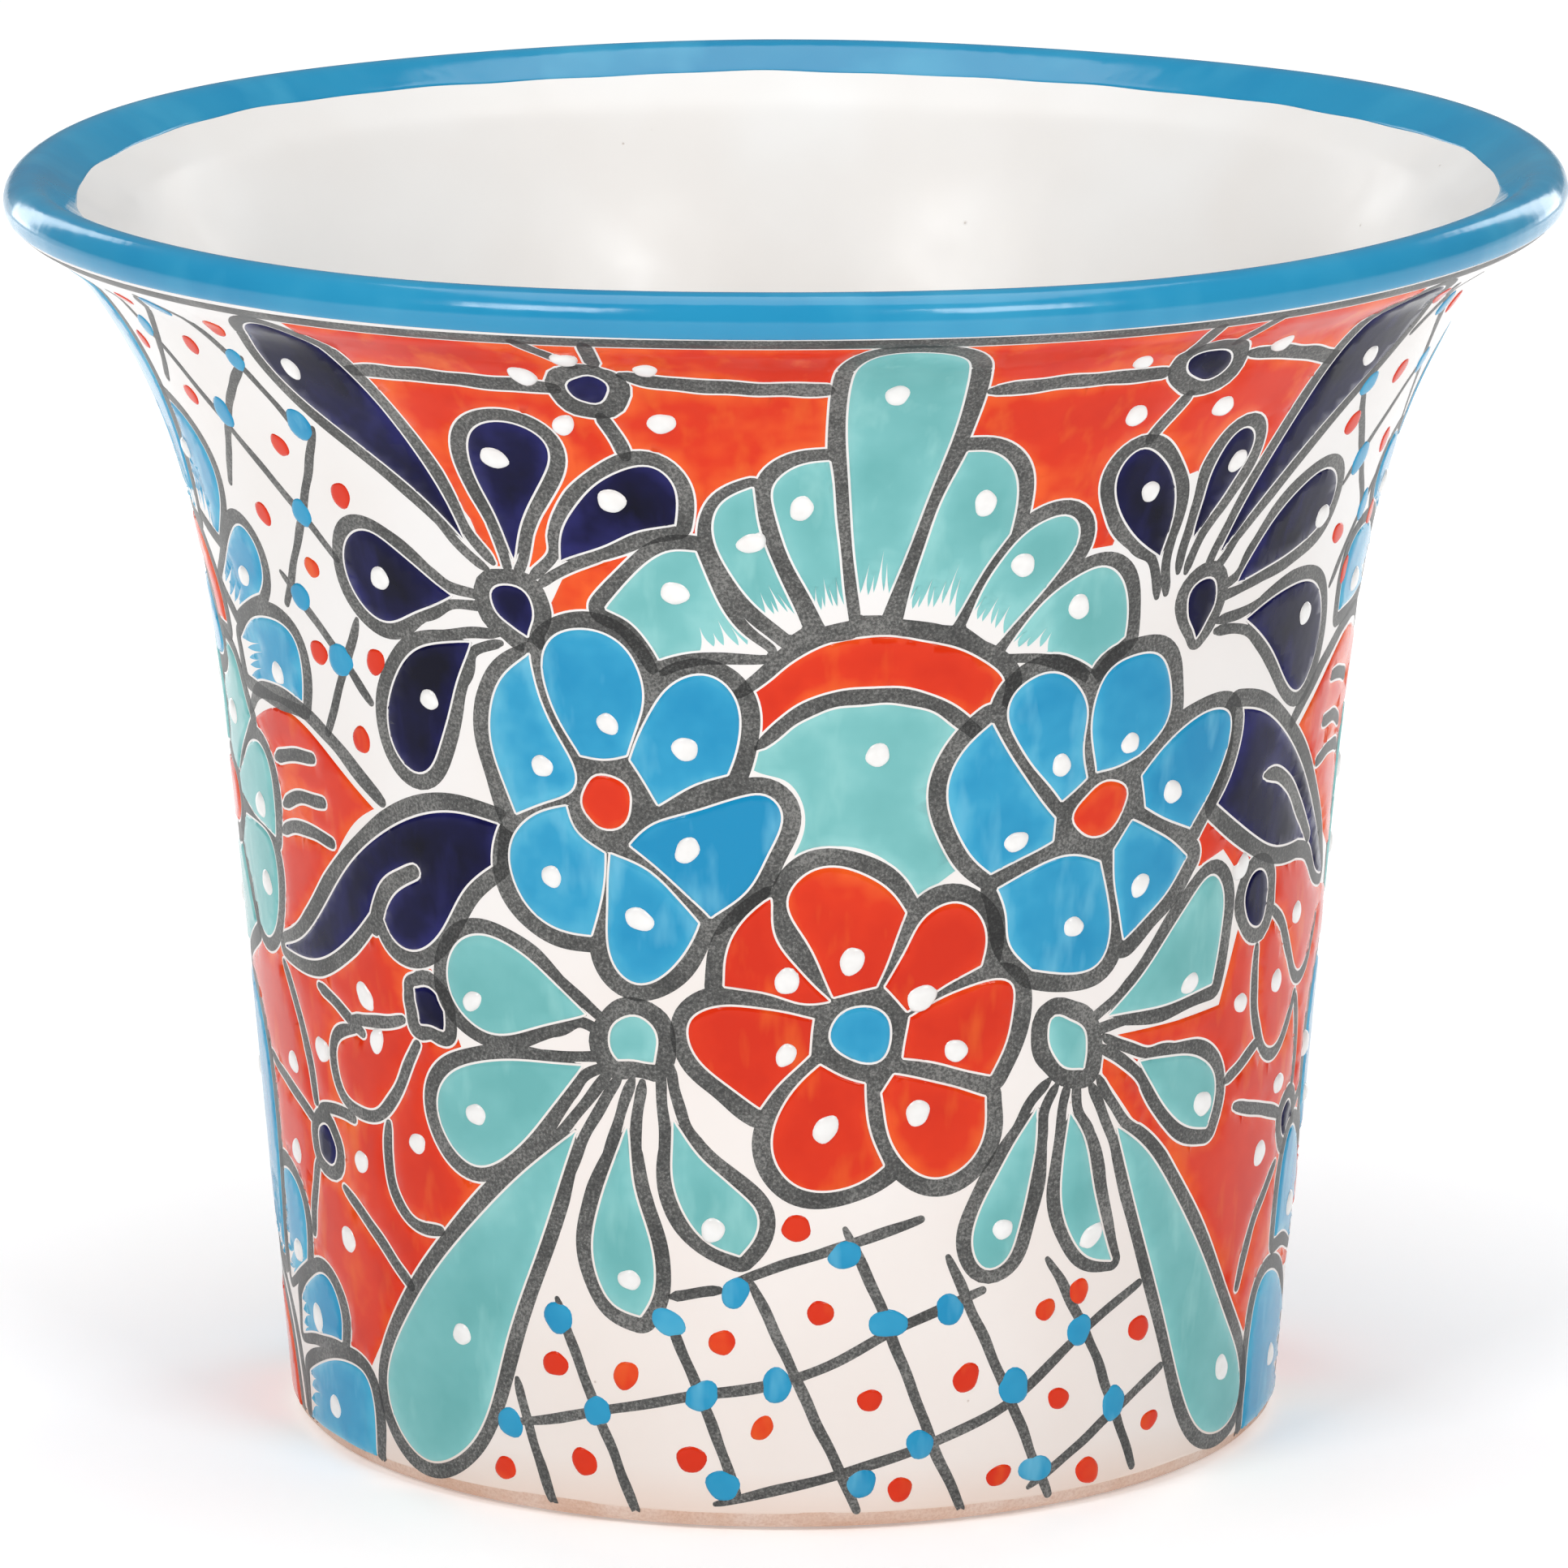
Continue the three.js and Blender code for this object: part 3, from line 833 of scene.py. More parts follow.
    # blue flowers
    flower(side + "_blue_flower_left", "sky_blue", [
        [corner(-24.6, 170.2), (-27.8, 164.6), (-29.3, 157), (-29.1, 148.6), corner(-27.2, 138.8),
         (-24, 141.6), (-21.2, 144.2), (-20.7, 147.6), (-21.9, 153), (-23.9, 161)],
        [(-27.4, 134.6), (-25, 139), corner(-21.8, 141), (-20.9, 136.4), corner(-18, 132.4), (-18.4, 124),
         corner(-19.7, 116.4), (-23.6, 117.4), (-26.8, 122), (-28.2, 129)],
        [corner(-17.3, 132.4), (-13.4, 129.2), corner(-8.6, 119.8), (-10, 114), (-12.4, 109.4),
         (-15, 107.8), (-17, 110.4), (-17.9, 117), (-17.7, 125)],
        [corner(-15.2, 134.4), (-12.6, 138.8), (-8.2, 141.6), (-4.4, 144.2), (-1.8, 144.8), (-0.3, 141.2),
         (-1.6, 133.6), (-3.8, 126.6), corner(-7.3, 121), (-11, 127.8)],
        [(-8, 168), (-10.8, 165.4), (-13, 159.4), corner(-14.9, 151), corner(-12.3, 142.6), (-8.6, 146.8),
         corner(-5.5, 148.9), (-4.5, 154.4), (-4.4, 161), (-5.8, 166.4)],
        [(-18.6, 175.8), (-22, 173.6), (-23.3, 167.6), (-22.4, 160), corner(-20, 151.2), (-17.6, 150.8),
         corner(-15.3, 151.8), (-14.2, 158), (-13.6, 165), (-15, 172.6)]],
        "orange_red", [(-19.9, 143), (-18.8, 147), (-16.8, 147.4), (-15.3, 144.6), (-15.3, 140.6),
                       (-16.5, 137.6), (-18.6, 138), (-19.8, 140.4)],
        [(-24, 148.6), (-23.6, 127.2), (-14.5, 120.2), (-9.5, 134), (-9.5, 153.6), (-17, 157.8)], place,
        (-0.4, 0.0, -0.1, 0.8, 0.0, 0.1))
    flower(side + "_blue_flower_right", "sky_blue", [
        [corner(21.7, 125), (25, 127.6), (29.2, 129.8), corner(33.2, 127.8), (34.5, 120), (34.7, 111),
         (33, 107.2), (29, 107.4), corner(26, 108.6), (23.4, 114), (22.8, 119.4)],
        [corner(34.9, 129.8), corner(37, 134.8), (41, 131), corner(44.8, 125.6), (41.2, 117.8),
         corner(36.9, 112), (36, 118), (35.2, 125)],
        [corner(20.3, 157.2), (17.6, 152.4), (16.3, 146), (16.9, 138.4), (18.8, 131.8), corner(20.9, 128.2),
         (24.4, 131), corner(27.4, 133.4), corner(27.6, 137.6), (24, 146)],
        [corner(37.8, 143.4), (41, 149), (44.4, 152.4), (47.4, 153.4), (49.6, 151.6), (49.8, 146.4),
         (48.4, 139.6), corner(45, 131.2), (42, 133.8), corner(38.6, 137.2)],
        [(25.7, 166), (22.9, 163.6), (22, 158.8), (23.6, 152), corner(28.3, 141), corner(30.9, 144.8),
         (30.3, 152), (30.4, 158.6), (28.6, 163.8)],
        [(35.8, 167.5), (32.8, 165.2), (31.4, 159), (31.5, 151), corner(32.1, 145.6), (34.4, 146.2),
         corner(37.2, 147.8), (39.7, 151.8), (40.7, 156.4), (39.8, 163.2), (38.2, 166.8)]],
        "orange_red", [(29.7, 137.2), (31.4, 141.4), (33.8, 143.4), (35.8, 141.4), (35.6, 137.4),
                       (33.6, 133.4), (31, 134.2)],
        [(30.4, 116), (38.4, 122), (23.4, 134), (41.9, 139.2), (27.9, 148), (35.8, 150.4)], place,
        (0.0, 0.1, -0.1, 0.1, 0.0, 0.1))

    # orange flower
    flower(side + "_orange_flower", "orange_red", [
        [corner(4.5, 105), (1.6, 110.6), (-1, 118), corner(-1.4, 124.6), (-4, 120.4), (-5.8, 113.6),
         corner(-6, 107.8), (-2, 106.8), (1.6, 104.8)],
        [corner(2.9, 101.4), (-2, 103.3), (-6.2, 103.8), (-9.4, 101), (-9.4, 96), (-6.8, 90),
         corner(-2.5, 84.2), (-0.8, 88.4), corner(2.5, 94.6)],
        [corner(11.4, 90), (15, 88.4), corner(21.3, 84.5), (21.2, 78), (19.6, 72), (16.4, 69.5),
         (13.4, 71.6), (11.2, 77.6), corner(10.1, 86.6)],
        [corner(12.9, 101.2), (17, 105), (21.2, 107), (23.6, 106), (24, 101), (23.2, 94.6),
         corner(21.7, 88.9), (17, 91.4), corner(12.3, 93.4)],
        [(17, 123), (14.2, 120.2), (12.4, 114.6), corner(10.2, 107.4), corner(12.6, 102.6), (15.4, 106),
         corner(20.2, 110.4), (20.6, 115.6), (19.4, 120.8)],
        [corner(3.7, 92.3), (6, 90), corner(8.3, 88.6), (8.7, 80), corner(10.3, 72.4), (8, 69.4),
         (4.8, 67.7), (1.4, 69), (-0.7, 73.4), (-1, 79.4), (0.8, 87)],
        [(5.6, 130.7), (2.2, 129.4), (0.5, 124.4), (2, 117.6), corner(5, 105.8), corner(9.3, 107.6),
         (10.7, 114), corner(12.1, 121.6), (9.8, 127)]],
        "sky_blue", [(4.7, 98.8), (5.9, 102.4), (8.5, 103.4), (10.6, 101), (10.8, 96.8), (9.8, 93.2),
                     (7, 93.6), (5.2, 96)],
        [(0.3, 109), (0.2, 94.6), (13.9, 82.5), (17.8, 94.2), (14, 105), (4.3, 80), (6.8, 112.7)], place,
        (0.3, 0.2, 0.1, 0.2, 0.3, 0.0, 0.3))

    # teal sprays
    leaves(side + "_teal_spray_left", "teal", [
        ([corner(-22.2, 77.5), (-30, 65.4), (-38.4, 50.4), (-46, 34.4), (-50.5, 20), (-49, 10.6),
          (-44.4, 5.8), (-39, 9.6), (-35.4, 18), (-32, 34), (-27, 55)], (-37.8, 33.5), (-17.6, 89.6)),
        ([corner(-16.5, 79), (-18.9, 68), (-20.6, 57.6), (-20.3, 49.4), (-18.6, 44), corner(-15.7, 42.2),
          (-14.3, 47), (-14.3, 56), (-16, 68)], (-16.7, 49.2), (-15.3, 88.6)),
        ([corner(-11.5, 81), (-9, 74.4), (-5.4, 68.2), (-3, 63.6), (-3.2, 59), corner(-4.7, 55), (-7.6, 57),
          (-10.4, 62.6), (-11.6, 71)], (-7.5, 60), (-12.2, 91.5)),
        ([corner(-21.3, 90.5), (-27, 90.2), (-32.4, 89), (-36.8, 85.8), (-39, 80), (-38.2, 73), (-35, 68.2),
          (-31.2, 70), (-26, 79.6)], (-34, 78.3), (-18.4, 92)),
        ([corner(-20.8, 100.8), (-24.6, 107.2), (-28, 111.8), (-31.7, 113.8), (-35, 111.4), (-36.6, 105.4),
          (-35.4, 98.8), (-31.8, 95), (-27, 96.8)], (-33.6, 100.7), (-18, 97.6))], place)
    bud(side + "_teal_spray_left", "teal", [(-18, 95.4), (-17.4, 99.4), (-15.5, 101), (-13.6, 99.4),
                                            (-13.2, 96), corner(-13.5, 92.4), corner(-17.2, 92.6)], place,
        3.4)
    leaves(side + "_teal_spray_right", "teal", [
        ([corner(37.7, 74.5), (41.4, 69.4), (46, 60), (52.4, 45), (59.4, 28), (63.8, 16.4), (63.9, 9),
          (60.8, 6), (56.8, 6.8), (53.4, 11.4), (49, 25.4), (44, 46), (40.2, 62)], (58.8, 19),
         (34.2, 84.6)),
        ([corner(31.4, 79), (33.4, 73), (35.4, 60), corner(38, 48.2), (34.6, 50), (32.2, 55.4),
          (30.9, 63.6), (31, 72)], (34.9, 54), (31.3, 84.8)),
        ([corner(27.3, 81), (23.8, 71), (21, 61), (20.6, 55), (22.2, 50.8), (24.4, 52), (25.8, 58),
          (26.9, 69)],
         (23.8, 58), (29, 85.6)),
        ([corner(40.3, 86.7), (44, 86.6), (48.6, 84.8), (52, 80.4), (52.5, 74.6), corner(51.6, 70),
          (47, 72.6), (43.4, 79.2)], (50.3, 75.2), (34.8, 92.4)),
        ([corner(35.5, 97.2), (39, 102.6), (42.9, 110), (46, 116.6), (49, 120.4), (51.1, 116.6),
          (51.3, 109), corner(50.4, 98.8), (43.4, 97.4)], (46.6, 100.2), (32.8, 95.4))], place)
    bud(side + "_teal_spray_right", "teal", [(28.4, 94), (28.7, 98.4), (30.6, 97.6), (32.6, 94.4),
                                             corner(32.7, 87.6), (30.2, 89)], place, 3.4)


def left_flank(side, place):
    """What lies between the big panel and the left side: orange ground with buds and a lattice."""
    paint("field", side + "_orange_ground", [
        corner(-90.4, 96), corner(-78, 101), corner(-66, 104), corner(-46, 114), corner(-38.5, 105),
        corner(-35.5, 91), corner(-41, 82), corner(-36, 67), corner(-30.5, 69.4), corner(-36, 58),
        corner(-47, 37), corner(-54.6, 19), corner(-66, 38), corner(-78, 55),
        corner(-90.4, 70)], place, "orange_red")
    strokes(side + "_curls", [
        [(-66, 97), (-62.5, 86), (-60.6, 71.5)], [(-73.8, 75.6), (-67, 71.6), (-61, 67.2)],
        [(-60, 70.4), (-56.5, 71.6), (-53, 71)], [(-57.5, 95.8), (-53.4, 92.6), (-50, 89.2)],
        [(-51.3, 91.8), (-47.6, 92.2), (-43.4, 94)],
        [(-51, 89.6), (-54.8, 87), (-55.8, 79), (-53.2, 73.4), (-48.6, 73.4), (-45.4, 78.6), (-41.5, 89.8)],
        [(-46.9, 72.5), (-47.2, 62), (-44.8, 54.4), (-40, 53.2)], [(-56, 56.2), (-50.4, 49), (-45.2, 40.4)],
        [(-61.6, 59.6), (-63.4, 51), (-64.7, 43.8)]], place)
    bud(side + "_curls", "navy", [(-60.7, 65.6), (-59, 67.4), (-57.4, 64.4), (-57.9, 60.4), (-60, 60.4)],
        place, 2.7)
    bud(side + "_curls", "navy", [corner(-41.3, 101), (-38.8, 101.2), (-37.6, 98), corner(-37.8, 94),
                                  corner(-40.8, 94.2)], place, 2.7)
    for spot in ((-48.8, 97), (-47.5, 88.5), (-58, 83), (-65.4, 77.5), (-42.4, 70), (-51.9, 63), (-67, 59),
                 (-55.8, 46)):
        drop(side + "_curls", *spot, place)
    lattice(side + "_lattice", [
        [(-65.6, 230.4), (-60, 213), (-52, 196), (-45.8, 183.6)], [(-57, 233), (-51.6, 226), (-46, 209.6)],
        [(-57.6, 232.4), (-62, 223), (-67, 212)], [(-48.6, 223), (-56, 209), (-61.5, 193.4)],
        [(-43.6, 210.4), (-48.6, 194), (-55.6, 171.6)], [(-55.6, 177.8), (-49, 166), (-44.2, 156)],
        [(-44.6, 172), (-47.4, 162), (-51.4, 147.6)]],
        [(-56, 231), (-63.5, 224), (-49.8, 222.2), (-45.3, 210.5), (-56.9, 209), (-49.5, 191.5),
         (-52.9, 173.8), (-48, 163)],
        [(-62.7, 230), (-49.6, 229), (-67.5, 219.6), (-55.9, 223), (-62.4, 210.5), (-49.4, 205),
         (-43.1, 197), (-56.3, 189), (-50, 180.5), (-51.3, 163.4), (-42.9, 164.2), (-46.2, 148)], place)


def right_flank(side, place):
    """What lies between the big panel and the right side."""
    ground = side + "_orange_ground"
    paint("field", ground, [
        corner(34.9, 91.2), corner(36.4, 93), corner(45, 93.2), corner(52, 94), corner(54, 106),
        corner(57, 122), corner(68, 121), corner(79, 107), corner(93, 101), corner(106.4, 96),
        corner(106.4, 70), corner(93, 50), corner(80, 30), corner(65.6, 21),
        corner(59, 34), corner(50, 53), corner(45.5, 63), corner(40.5, 74),
        corner(35.2, 86)], place, "orange_red")
    paint("field", ground, [
        corner(45.6, 129.6), corner(48.2, 133), corner(57, 124.6), corner(54.6, 117), corner(50.6, 125),
        corner(46.8, 123)], place, "orange_red")
    strokes(side + "_curls", [
        [(61.3, 109.4), (64.4, 105.4), (67.5, 97.4), (71.4, 91.6), (75.2, 94.2), (77.6, 101)],
        [(58.6, 103), (59, 93), (61, 84), (64.6, 79.2), (68, 81.6), (70.6, 89)],
        [(54.4, 78), (58, 80.8), (61.2, 83.8)], [(71.3, 88), (72.9, 80), (73.4, 70)],
        [(56.9, 72), (63, 69), (69.8, 65)], [(69.4, 55.4), (64, 46), (61.2, 34)],
        [(75, 64), (80, 68), (86, 72)], [(74, 59), (79, 52), (83, 44)]], place)
    bud(side + "_curls", "navy", [(55.5, 113), (56.4, 117.8), (58.6, 118), (59.8, 113.6), (59, 107.4),
                                  (56.8, 108.4)], place, 3.0)
    bud(side + "_curls", "navy", [(70.4, 63), (71.6, 66.4), (73.7, 65.4), (74, 61.6), (72.3, 59.4)], place,
        2.9)
    for spot in ((68, 106), (63.8, 94.2), (55.9, 93), (67.3, 72.4), (63.6, 60), (78, 75.6), (53.9, 120.4)):
        drop(side + "_curls", *spot, place)
    lattice(side + "_lattice", [
        [(58.9, 212.6), (65.8, 196.5), (71.8, 184), (76, 172)], [(63.2, 231.6), (67, 225.6), (73, 212)],
        [(67.6, 232), (65.2, 227), (62.8, 222)], [(63.4, 192), (67, 200), (73.4, 214)],
        [(66.8, 170.6), (71.6, 183.4), (76.6, 195)], [(72.8, 213), (77.4, 202), (81, 190)]],
        [(59.7, 213), (65.8, 196), (67, 226), (72, 184.4), (72.8, 212.5)],
        [(60.2, 205), (66.1, 213), (63, 229.4), (65.9, 181.2), (70.8, 172.2), (72.3, 197), (69.8, 225.2),
         (77, 181)], place)


def shell_and_fan(side, shell_place, blossom_place, fan_place, wing_place):
    """One half of a side panel: the blue shell's petals, the teal flower's petals, the dashed
    orange wing and the blue fan at the foot."""
    shell = side + "_blue_shell"
    leaves(shell, "sky_blue", [
        ([corner(-72.3, 206.6), (-67.8, 203.8), (-65.2, 197.4), (-65.7, 189), corner(-69.2, 180.4),
          corner(-76, 184.4), (-74, 195)], (-71.4, 196.6)),
        ([(-61.8, 184.3), (-59.6, 181), (-59.7, 175.4), corner(-61.2, 171.8), (-65, 169),
          corner(-68.2, 165.6), corner(-71.4, 170.4), (-68, 176.4), (-64.8, 182.2)], (-63.6, 174.2)),
        ([(-60.2, 167), (-56, 165.4), (-54.9, 160.6), corner(-55.5, 151.8), (-60, 152.4),
          corner(-67.6, 153.6), corner(-68.2, 160), (-64.4, 164.8)], (-59.4, 156.6))], shell_place)
    licks(shell, [(-75.8, 184.8), (-74.6, 184), (-73.4, 183.2), (-72.2, 182.4), (-71, 181.4)], shell_place,
          [(1.8, 9)] * 5)
    licks(shell, [(-71.4, 170), (-70.4, 168.6), (-69.2, 167), (-68.2, 165.8)], shell_place, [(2.6, 5)] * 4)
    licks(shell, [(-68, 159), (-67.8, 157.4), (-67.6, 155.8), (-67.4, 154.2)], shell_place,
          [(3.6, 1.5)] * 4)
    paint("field", side + "_orange_wing", [
        corner(-66.8, 145), (-61.6, 149), (-57, 148.6), (-51.8, 143.4), corner(-45.2, 134.8), (-48.6, 131),
        (-52.6, 122), (-57, 112), corner(-64.6, 104), corner(-66, 122),
        corner(-66, 138)], wing_place, "orange_red")
    strokes(side + "_orange_wing", [
        [(-62.6, 138.6), (-58.6, 140.8), (-54.8, 141.6)], [(-61.8, 129.8), (-58.4, 132.4), (-53.6, 133.2)],
        [(-62.8, 124.4), (-58.4, 126.6), (-52.6, 125.6)]], wing_place, 2.5, (0.5, 0.9))
    paint("stroke", side + "_orange_wing", [(-68.2, 145.8), (-65.2, 150.6), (-61, 152.2), (-57, 151.2),
                                            (-52, 147.4), (-44, 136.6)], wing_place, taper=(0.4, 0.7))
    blossom = side + "_teal_flower"
    leaves(blossom, "teal", [
        ([(-75.6, 157), (-72, 155), (-70.4, 150), corner(-68.8, 144.4), (-72.4, 138.6), corner(-76.6, 131),
          (-79, 134), (-80, 141), (-79.6, 150), (-78, 155.6)], (-74.9, 143.2)),
        ([corner(-75.2, 122.4), (-70.4, 122.6), (-66.8, 121.4), (-65.6, 116.6), (-66.2, 108),
          (-68.8, 101.8), (-71.6, 100.4), (-74.4, 104), corner(-79, 114.6)], (-68.4, 111.8)),
        ([(-67, 139.9), (-65, 136.4), (-64.5, 128.6), corner(-65, 122.4), (-70, 124.2),
          corner(-75.6, 126.6), corner(-76, 130.4), (-73, 134.6), (-70, 138.6)],
         (-68, 127.4))], blossom_place)
    fan = side + "_blue_fan"
    leaves(fan, "sky_blue", [
        ([corner(-75, 51.4), (-72, 53), (-68.4, 50.6), (-66.9, 44.4), corner(-67.8, 37), corner(-75.4, 30)],
         (-69.9, 37.8)),
        ([(-63, 35.6), (-60.6, 33.6), (-59.5, 29), corner(-59.8, 23.8), (-64.4, 23.4), corner(-72, 20.4),
          corner(-71, 27.6), (-67.2, 33)], (-65.3, 26.2)),
        ([(-57.6, 20), (-54.9, 18.4), (-53.9, 13), corner(-54.1, fan_foot), (-62, fan_foot),
          corner(-71.6, fan_foot), corner(-70.6, 12.6), (-64, 18)], (-62.6, 9.4))], fan_place)
    licks(fan, [(-75.2, 38), (-75.2, 34), (-74.8, 31)], fan_place, [(3.0, 3)] * 3)
    licks(fan, [(-71.4, 26.4), (-71.6, 24), (-71.8, 21.4)], fan_place, [(3.6, 1.5)] * 3)
    licks(fan, [(-70.8, 11.6), (-71.2, 9), (-71.4, 6)], fan_place, [(4, 1)] * 3)


def side_middle(side, middle, towards_front):
    """The middle line of a side panel, given as half outlines: degrees from its middle and
    height. The half towards the back is squeezed like the back itself."""
    def both_halves(half):
        right = [(middle + towards_front * p[0], p[1]) + p[2:] for p in half]
        left = [(middle - towards_front * p[0] * back_squeeze, p[1]) + p[2:] for p in half if p[0] > 0]
        return right + left[::-1]

    shapes = [
        ("_blue_shell", "sky_blue", [
            (0, 231.4), (12, 231.6), (18.4, 228.6), (18.6, 217), (16, 199), corner(12.8, 181.6), (0, 183)]),
        ("_orange_arch", "orange_red", [
            (0, 178), (8, 178.2), (13, 174.6), (16.4, 167), corner(17, 161.4), corner(14, 161.6), (12, 168),
            (7.6, 171.8), (0, 172.2)]),
        ("_blue_disc", "sky_blue", [(0, 166), (6.6, 166), (11, 161.8), (13, 155), (0, 152)]),
        ("_teal_flower", "teal", [
            (0, 155), (4.6, 154.6), (8.2, 150), (9, 142), corner(7.8, 134.6), (0, 132.4)]),
        ("_blue_fan", "sky_blue", [
            (0, 86.6), (7, 86), (12, 81.4), (14.3, 72), (14.4, 58), (13.2, 45), corner(11.6, 33), (0, 35)]),
        ("_teal_flower", "teal", [
            (0, 112.4), (5, 112.6), corner(9.6, 114.4), (12, 108.4), corner(14.4, 101), (8, 95.6),
            (0, 91.6)]),
        ("_teal_flower_eye", "orange_red", [
            (0, 129.4), (6.6, 130), (10.8, 128.4), (11.9, 124), (9.4, 119.2), (0, 117.2)]),
        ("_orange_disc", "orange_red", [
            (0, 24), (6.8, 22.4), (11.2, 16), corner(12.8, fan_foot), (0, fan_foot)]),
    ]
    for name, colour, half in shapes:
        paint("motif", side + name, both_halves(half), as_it_is, colour, group=side + "_middle")
    arch = [(-17 * back_squeeze, 4.4), (-15.6 * back_squeeze, 15), (-11 * back_squeeze, 25), (0, 30),
            (11, 27), (15.6, 16), (17, 4.4)]
    paint("stroke", side + "_blue_fan", [(middle + towards_front * a, z) for a, z in arch], as_it_is,
          width=3.2)
    for piece, foot, reach, rise in (("_blue_shell", 183, 12.5, 13), ("_blue_fan", 34.5, 10.5, 9)):
        spots = [reach * (k / 5.5 - 1) for k in range(12)]
        bases = [(middle + k * (back_squeeze if k * towards_front < 0 else 1), foot) for k in spots]
        licks(side + piece, bases, as_it_is, [(k * 0.06, rise) for k in spots])
    for z in (214, 145, 101, 66):
        drop(side + "_middle", middle, z, as_it_is)


def moved(place, turn, rise, stretch=1.0):
    """A placement turned by some degrees, raised, and stretched upwards from the foot."""
    return lambda a, z: place(a + turn, fan_foot + (z - fan_foot) * stretch + rise)


for panel, place in (("front", as_it_is), ("back", round_the_back)):
    left_flank(panel + "_left", place)
    right_flank(panel + "_right", place)
for panel, place in (("front_left", as_it_is), ("back_left", round_the_back)):
    shell_and_fan(panel, place, place, place, place)
for panel, place in (("front_right", other_side), ("back_right", other_side_back)):
    shell_and_fan(panel, moved(place, 0, 12), moved(place, -2.5, 0), moved(place, 3.5, 0, 1.75),
                  moved(place, -2, 9))
side_middle("left", -90.0, 1)
side_middle("right", 2 * front_middle + 90.0, -1)
for panel, place in (("front", as_it_is), ("back", round_the_back)):
    central_panel(panel, place)
neck_line = [(a, 235.7 + 0.2 * math.sin(a / 31)) for a in range(-98, 280, 9)]
paint("stroke", "neck_line", neck_line, as_it_is, width=3.2, group="neck")


def outer_offset(shape, distance, closed):
    """A curve at a distance outside a closed outline, rounding its corners, or beside a stroke."""
    line = shape["line"]
    if not closed:
        return line + normals_of(line, False) * distance[:, None]
    before, after = line - np.roll(line, 1, axis=0), np.roll(line, -1, axis=0) - line
    turn_before = np.arctan2(-before[:, 0], before[:, 1])
    turn_after = np.arctan2(-after[:, 0], after[:, 1])
    swing = (turn_after - turn_before + math.pi) % (2 * math.pi) - math.pi
    nearly_straight, arc_step = 0.5, 0.8
    points = []
    for i in range(len(line)):
        round_it = abs(swing[i]) >= nearly_straight
        steps = int(2 + abs(swing[i]) * abs(distance[i]) / arc_step) if round_it else 1
        for t in ([0.5] if steps == 1 else np.linspace(0, 1, steps)):
            angle = turn_before[i] + swing[i] * t
            points.append(line[i] + distance[i] * np.array([math.cos(angle), math.sin(angle)]))
    return np.array(points)


def curves_of(shape):
    """The curves along which the glaze regions meet, plus inner ones that carry their rounding."""
    line, width = shape["line"], shape["width"]
    even = np.ones(len(line))
    rounding = 0.7
    if shape["kind"] == "stroke":
        half = width / 2
        ends = np.array([line[0], line[-1]])
        t = np.linspace(0, 2 * math.pi, 13)[:-1]
        circle = np.column_stack([np.cos(t), np.sin(t)])
        caps = []
        for end, radius in zip(ends, (half[0], half[-1])):
            caps += [(end + (radius + grow) * circle, True) for grow in (0, gap)]
        sides = [(outer_offset(shape, way * (half + grow), False), False)
                 for way in (1, -1) for grow in (0, gap)]
        return sides + caps + [(line, False)]
    if shape["kind"] == "scratch":
        return [(line, True)]
    rings = [(line, True), (outer_offset(shape, -rounding * even, True), True)]
    if shape["kind"] == "motif":
        rings += [(outer_offset(shape, d, True), True) for d in
                  (gap * even, gap + width / 2, gap + width, 2 * gap + width)]
    return rings


def to_page(points, middle):
    """Millimetres on a shape's own sheet to places on the page, which goes once round the pot."""
    radius = on_path(points[:, 1])[0]
    return np.column_stack([(np.radians(middle) + points[:, 0] / radius) * page_radius, points[:, 1]])


def from_page(points, middle):
    """Places on the page to millimetres on a shape's own sheet."""
    radius = on_path(points[:, 1])[0]
    return np.column_stack([(points[:, 0] / page_radius - math.radians(middle)) * radius, points[:, 1]])


def nearest(shape, spots):
    """For each spot: its distance to the shape's line, the brush width there, and whether it is
    inside a closed outline."""
    line, width = shape["line"], shape["width"]
    closed = shape["kind"] != "stroke"
    ends = np.roll(line, -1, axis=0) if closed else line[1:]
    starts = line if closed else line[:-1]
    w0 = width if closed else width[:-1]
    w1 = np.roll(width, -1) if closed else width[1:]
    along = ends - starts
    length = (along ** 2).sum(1) + 1e-12
    distance, brush, inside = (np.zeros(len(spots)) for _ in range(3))
    for k in range(0, len(spots), 4000):
        some = spots[k:k + 4000]
        dx, dy = some[:, 0, None] - starts[:, 0], some[:, 1, None] - starts[:, 1]
        t = np.clip((dx * along[:, 0] + dy * along[:, 1]) / length, 0, 1)
        away = (dx - t * along[:, 0]) ** 2 + (dy - t * along[:, 1]) ** 2
        best = away.argmin(1)
        rows = np.arange(len(some))
        distance[k:k + 4000] = np.sqrt(away[rows, best])
        share = t[rows, best]
        brush[k:k + 4000] = w0[best] * (1 - share) + w1[best] * share
        if closed:
            crosses = ((starts[:, 1] > some[:, 1, None]) != (ends[:, 1] > some[:, 1, None]))
            x = starts[:, 0] + (some[:, 1, None] - starts[:, 1]) * along[:, 0] / (along[:, 1] + 1e-12)
            inside[k:k + 4000] = (crosses & (some[:, 0, None] < x)).sum(1) % 2
    return distance, brush, inside > 0


full_turn = 2 * math.pi * page_radius
page_left = math.radians(seam) * page_radius
page_right = page_left + full_turn


